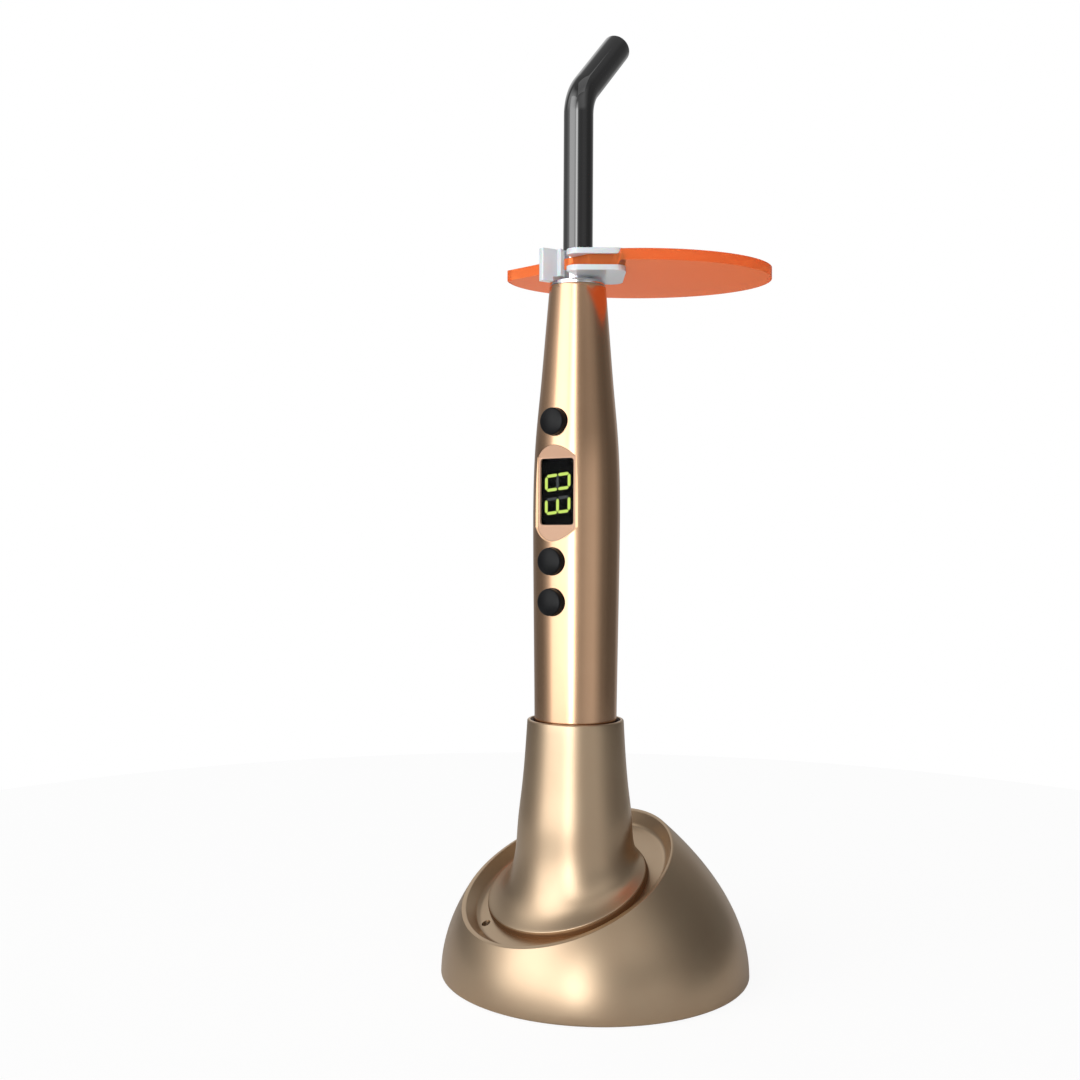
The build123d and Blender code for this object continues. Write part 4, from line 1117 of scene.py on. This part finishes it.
# Ferrule: a sleeve with the collar's chrome finish, bonded to the guide. The seal grips it and the
# clip turns on it.
ferrule_r = 4.75
ferrule_top_z = 195.58
ferrule_bore_r = guide_r + 0.025
ferrule = spun(
    "guide_sleeve",
    turned(
        (ferrule_r, guide_z, 0.2),
        (ferrule_r, ferrule_top_z, 0.3),
        (ferrule_bore_r, ferrule_top_z, 0.1),
        (ferrule_bore_r, guide_z, 0),
    ),
    chrome,
    96,
)
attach(ferrule, "light_guide")
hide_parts("guide_ferrule")

# Shield clip: one moulding of milky polycarbonate. A split ring snaps on the ferrule, two flanges
# hold the plate between them, and a thick tab is there for the finger.
shield_turn = math.radians(35)
clip_z = 188.3
clip_h = 7.2
clip_r = 7.2
clip_bore_r = 4.83
clip_mouth_w = 3.6
clip_mouth_turn = math.radians(-116)
flange_t = 1.4
flange_lip_t = 1.5
flange_size = (15.6, 19.0, 3.0)
flange_at = (4.5, -3.7)
tab_turn = math.radians(-150)
tab_r = 11.6
tab_t = 2.0
tab_skirt_r = 8.1
tab_skirt = 1.4
plate_z = clip_z + flange_t
plate_t = 2.9
clip_edge = 0.22
milk = {"IOR": 1.58, "Subsurface_Weight": 0.35, "Subsurface_Scale": 0.004, "Transmission_Weight": 0.25}
milky_pc = finish("polycarbonate, moulded, milky", "#E9ECF1", 1.2, (0.16, 0.24), 0.03, **milk)


def shield_place(z, turn=0.0):
    """Places a level slab at a height, turned with the shield."""
    return Matrix.Translation((0, 0, z)) @ Matrix.Rotation(shield_turn + turn, 4, "Z")


def disc(radius, steps=96):
    """A round outline, closed once."""
    return arc((0, 0), radius, 0, 360, steps)[:-1]


def bar_outline(start, end, width, edge=0.4):
    """An outline along X from start to end, with softly rounded ends."""
    return box_outline(((start + end) / 2, 0), end - start, width, edge)


clip = slab("clip_moulding", [disc(clip_r)], clip_h, milky_pc, shield_place(clip_z))
flange = box_outline(flange_at, *flange_size, 12)
for z, depth in ((clip_z, flange_t), (plate_z + plate_t, flange_lip_t)):
    joined(clip, slab("flange", [flange], depth, milky_pc, shield_place(z)), "UNION")
tab = bar_outline(ferrule_r, tab_r, tab_t)
joined(clip, slab("tab", [tab], clip_h, milky_pc, shield_place(clip_z, tab_turn)), "UNION")
skirt = bar_outline(tab_skirt_r, tab_r, tab_t)
skirt_place = shield_place(clip_z - tab_skirt, tab_turn)
joined(clip, slab("skirt", [skirt], clip_h, milky_pc, skirt_place), "UNION")
joined(clip, rod("clip_bore", (0, 0, clip_z - 1), (0, 0, 1), clip_bore_r, clip_h + 2, 96))
mouth = bar_outline(0.5, 2 * clip_r, clip_mouth_w, 0.3)
mouth_place = shield_place(clip_z - 1, clip_mouth_turn)
joined(clip, slab("mouth", [mouth], clip_h + 2, milky_pc, mouth_place))
soften(clip, 35)
edges_broken(clip, clip_edge)
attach(clip, "shield")
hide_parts("shield_clip")

# Shield plate: cast acrylic, tinted orange so that it stops blue light, cut to an oval with one
# corner taken off where the clip holds it. Light gathers in its polished edge.
plate_len = 72.8
plate_w = 52.0
plate_at = (17.0, 6.7)
plate_chord = 7.1
plate_chord_turn = math.radians(-133.8)
plate_step = (10.0, -12.2)
plate_round = 1.6
plate_edge = 0.3
plate_steps = 240


def plate_outline():
    """The plate's outline: the oval, less what the chord and the stepped corner take away."""
    cut_way = Vector((math.cos(plate_chord_turn), math.sin(plate_chord_turn)))
    kept = []
    for step in range(plate_steps):
        turn = 2 * math.pi * step / plate_steps
        oval = Vector((plate_len / 2 * math.cos(turn), plate_w / 2 * math.sin(turn)))
        point = Vector(plate_at) + oval
        gone = point.dot(cut_way) > plate_chord
        gone = gone or (point.x < plate_step[0] and point.y < plate_step[1])
        if not gone:
            kept.append((turn, point))
    turns = [turn for turn, _ in kept]
    gaps = [(after - turn) % (2 * math.pi) for turn, after in zip(turns, turns[1:] + turns[:1])]
    start = gaps.index(max(gaps)) + 1
    ordered = [point for _, point in kept[start:] + kept[:start]]
    along = Vector((-cut_way.y, cut_way.x))
    corner_s = (plate_step[1] - cut_way.y * plate_chord) / along.y
    corner = cut_way * plate_chord + along * corner_s
    inner = Vector(plate_step)
    path = [(Vector((p.x, p.y, 0)), 0) for p in ordered]
    path[0] = (path[0][0], plate_round)
    path[-1] = (path[-1][0], plate_round)
    path.append((Vector((corner.x, corner.y, 0)), plate_round))
    path.append((Vector((inner.x, inner.y, 0)), plate_round))
    return [(p.x, p.y) for p in rounded(path, 8)]


cast = {"IOR": 1.06, "Specular_IOR_Level": 0.1, "Transmission_Weight": 0.6}
orange_acrylic = finish("acrylic, cast, orange", "#FD8A4E", 6.0, (0.1, 0.14), 0.0, **cast)
plate_place = shield_place(plate_z)
plate = slab("shield_pane", [plate_outline()], plate_t, orange_acrylic, plate_place, angle=30)
joined(plate, rod("seat", (0, 0, plate_z - 1), (0, 0, 1), clip_r + 0.05, plate_t + 2, 96))
nick = bar_outline(ferrule_r, tab_r + 0.05, tab_t + 0.1, 0.3)
joined(plate, slab("nick", [nick], plate_t + 2, orange_acrylic, shield_place(plate_z - 1, tab_turn)))
soften(plate, 30)
edges_broken(plate, plate_edge)
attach(plate, "shield")
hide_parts("shield_plate")

# Room: a round white table in a studio. A wide lit wall to the left of the camera lays the long
# bright bands on the metal, and the dark gap to the right draws its dark stripe. The wall's levels
# differ low down, at a middle height and high up. They are fitted, not measured in a room.
floor_r = 0.36
floor_glow = 1.07
floor_glow_share = 0.85
floor_mesh = bpy.data.meshes.new("floor")
floor_points = [(x * floor_r, y * floor_r, 0) for x, y in disc(1)]
floor_mesh.from_pydata(floor_points, [], [tuple(range(len(floor_points)))])
floor = placed("floor", floor_mesh)
floor_paint = bpy.data.materials.new("floor, matt white paint")
floor_paint.use_nodes = True
paint = floor_paint.node_tree
paint.nodes.clear()
matt = add(paint, "ShaderNodeBsdfDiffuse", {"Color": srgb("#E4E4E4")})
bright = add(paint, "ShaderNodeEmission", {"Color": srgb("#FFFFFF"), "Strength": floor_glow})
rays = add(paint, "ShaderNodeLightPath")
seen = {1: rays.outputs["Is Camera Ray"]}
glow = add(paint, "ShaderNodeMath", {0: floor_glow_share}, seen, operation="MULTIPLY")
coats = {0: glow.outputs["Value"], 1: matt.outputs["BSDF"], 2: bright.outputs["Emission"]}
mixed = add(paint, "ShaderNodeMixShader", links=coats)
add(paint, "ShaderNodeOutputMaterial", links={"Surface": mixed.outputs["Shader"]})
floor_mesh.materials.append(floor_paint)

camera_turn = math.radians(35)
wall_peak = 6.0
ceiling_level = 0.22
wall_low = (
    (-180, 1.0), (-168, 0.3), (-130, 0.16), (-104, 0.17), (-90, 0.35), (-78, 0.8),
    (-68, 2.1), (-50, 2.3), (-24, 2.5), (-16, 6.0), (-11, 6.0), (-5, 1.2),
    (4, 0.45), (12, 0.42), (28, 0.58), (46, 0.66), (60, 0.4), (72, 0.2),
    (95, 0.12), (133, 0.15), (150, 0.45), (168, 0.3), (180, 1.0),
)
wall_middle = (
    (-180, 0.84), (-168, 0.46), (-130, 0.25), (-104, 0.34), (-90, 0.62), (-78, 1.0),
    (-68, 1.95), (-50, 2.07), (-36, 2.0), (-24, 2.0), (-16, 4.6), (-11, 4.6),
    (-5, 0.95), (3, 0.28), (20, 0.24), (40, 0.3), (58, 0.26), (72, 0.16),
    (95, 0.12), (133, 0.2), (150, 0.42), (168, 0.35), (180, 0.84),
)
wall_high = (
    (-180, 0.5), (-162, 0.9), (-140, 0.85), (-122, 0.2), (-112, 0.16), (-100, 0.95),
    (-62, 1.75), (-46, 1.55), (-30, 0.68), (-10, 0.45), (10, 0.6), (35, 0.68),
    (55, 0.35), (72, 0.15), (110, 0.15), (140, 0.4), (180, 0.5),
)
middle_rises = (0.14, 0.2, 0.34, 0.42)
high_from, high_to = 0.15, 0.6
ceiling_from, ceiling_to = 0.68, 0.86
world = bpy.data.worlds.new("studio")
world.use_nodes = True
bpy.context.scene.world = world
studio = world.node_tree
studio.nodes.clear()
way = add(studio, "ShaderNodeTexCoord")
facing = {"Rotation": (0, 0, math.pi / 2 - camera_turn)}
generated = {"Vector": way.outputs["Generated"]}
turned_way = add(studio, "ShaderNodeMapping", facing, generated, vector_type="POINT")
split = add(studio, "ShaderNodeSeparateXYZ", links={"Vector": turned_way.outputs["Vector"]})
height = split.outputs["Z"]
flat_way = {0: split.outputs["Y"], 1: split.outputs["X"]}
round_way = add(studio, "ShaderNodeMath", {}, flat_way, operation="ARCTAN2")
horizon = add(
    studio,
    "ShaderNodeMapRange",
    {"From Min": -math.pi, "From Max": math.pi},
    {"Value": round_way.outputs["Value"]},
)


def lit_ramp(levels):
    """Levels once round the horizon, from behind the object to behind it again."""
    ramp = add(studio, "ShaderNodeValToRGB", links={"Fac": horizon.outputs["Result"]})
    stops = ramp.color_ramp.elements
    for azimuth, _ in levels[1:-1]:
        stops.new((azimuth + 180) / 360)
    for stop, (_, level) in zip(stops, levels):
        stop.color = [level / wall_peak] * 3 + [1]
    return ramp.outputs["Color"]


upper_range = {"From Min": high_from, "From Max": high_to}
upper = add(studio, "ShaderNodeMapRange", upper_range, {"Value": height})
belt = add(studio, "ShaderNodeValToRGB", links={"Fac": height})
belt_stops = belt.color_ramp.elements
for rise in middle_rises[1:-1]:
    belt_stops.new(rise)
for stop, rise, inside in zip(belt_stops, middle_rises, (0, 1, 1, 0)):
    stop.position = rise
    stop.color = (inside, inside, inside, 1)
field = lit_ramp(wall_low)
for where, over in ((upper.outputs["Result"], wall_high), (belt.outputs["Color"], wall_middle)):
    layers = {"Factor": where, "A": field, "B": lit_ramp(over)}
    field = add(studio, "ShaderNodeMix", {}, layers, data_type="FLOAT").outputs["Result"]
ceiling_range = {"From Min": ceiling_from, "From Max": ceiling_to}
ceiling = add(studio, "ShaderNodeMapRange", ceiling_range, {"Value": height})
closed = add(
    studio,
    "ShaderNodeMix",
    {"B": ceiling_level / wall_peak},
    {"Factor": ceiling.outputs["Result"], "A": field},
    data_type="FLOAT",
)
wall = add(studio, "ShaderNodeMath", {1: wall_peak}, {0: closed.outputs["Result"]}, operation="MULTIPLY")
sky_rays = add(studio, "ShaderNodeLightPath").outputs
open_rays = {0: sky_rays["Is Camera Ray"], 1: sky_rays["Is Transmission Ray"]}
open_sky = add(studio, "ShaderNodeMath", {}, open_rays, operation="MAXIMUM")
strength = add(
    studio,
    "ShaderNodeMix",
    {"B": 1.0},
    {"Factor": open_sky.outputs["Value"], "A": wall.outputs["Value"]},
    data_type="FLOAT",
)
white = {"Color": srgb("#FFFFFF")}
sky = add(studio, "ShaderNodeBackground", white, {"Strength": strength.outputs["Result"]})
add(studio, "ShaderNodeOutputWorld", links={"Surface": sky.outputs["Background"]})
lamp_aim = Vector((0, 0, 0.12))


def soft_box(name, azimuth, height, distance, size, power):
    """An area lamp that looks at the handpiece, placed by its angle from the camera."""
    lamp = bpy.data.lights.new(name, "AREA")
    lamp.shape = "RECTANGLE"
    lamp.size, lamp.size_y = size
    lamp.energy = power
    turn = camera_turn + math.radians(azimuth)
    place = Vector((math.sin(turn) * distance, -math.cos(turn) * distance, height))
    holder = placed(name, lamp)
    holder.location = place
    holder.rotation_euler = (lamp_aim - place).to_track_quat("-Z", "Y").to_euler()


soft_box("key", -52, 0.7, 1.1, (0.9, 1.0), 2.0)
soft_box("overhead", 10, 1.3, 0.4, (0.8, 0.8), 0.8)

lens_mm = 42.0
sensor_mm = 36.0
camera_at = (187.2, -284.5, 118.0)
camera_roll = math.radians(0.3)
camera_data = bpy.data.cameras.new("camera")
camera_data.lens = lens_mm
camera_data.sensor_width = sensor_mm
camera_data.clip_start = 0.01
camera = placed("camera", camera_data)
camera.location = Vector(camera_at) * mm
aim = Matrix.Rotation(camera_turn, 4, "Z") @ Matrix.Rotation(math.pi / 2, 4, "X")
camera.rotation_euler = (aim @ Matrix.Rotation(camera_roll, 4, "Z")).to_euler()
bpy.context.scene.camera = camera
bpy.context.scene.view_settings.view_transform = "Standard"
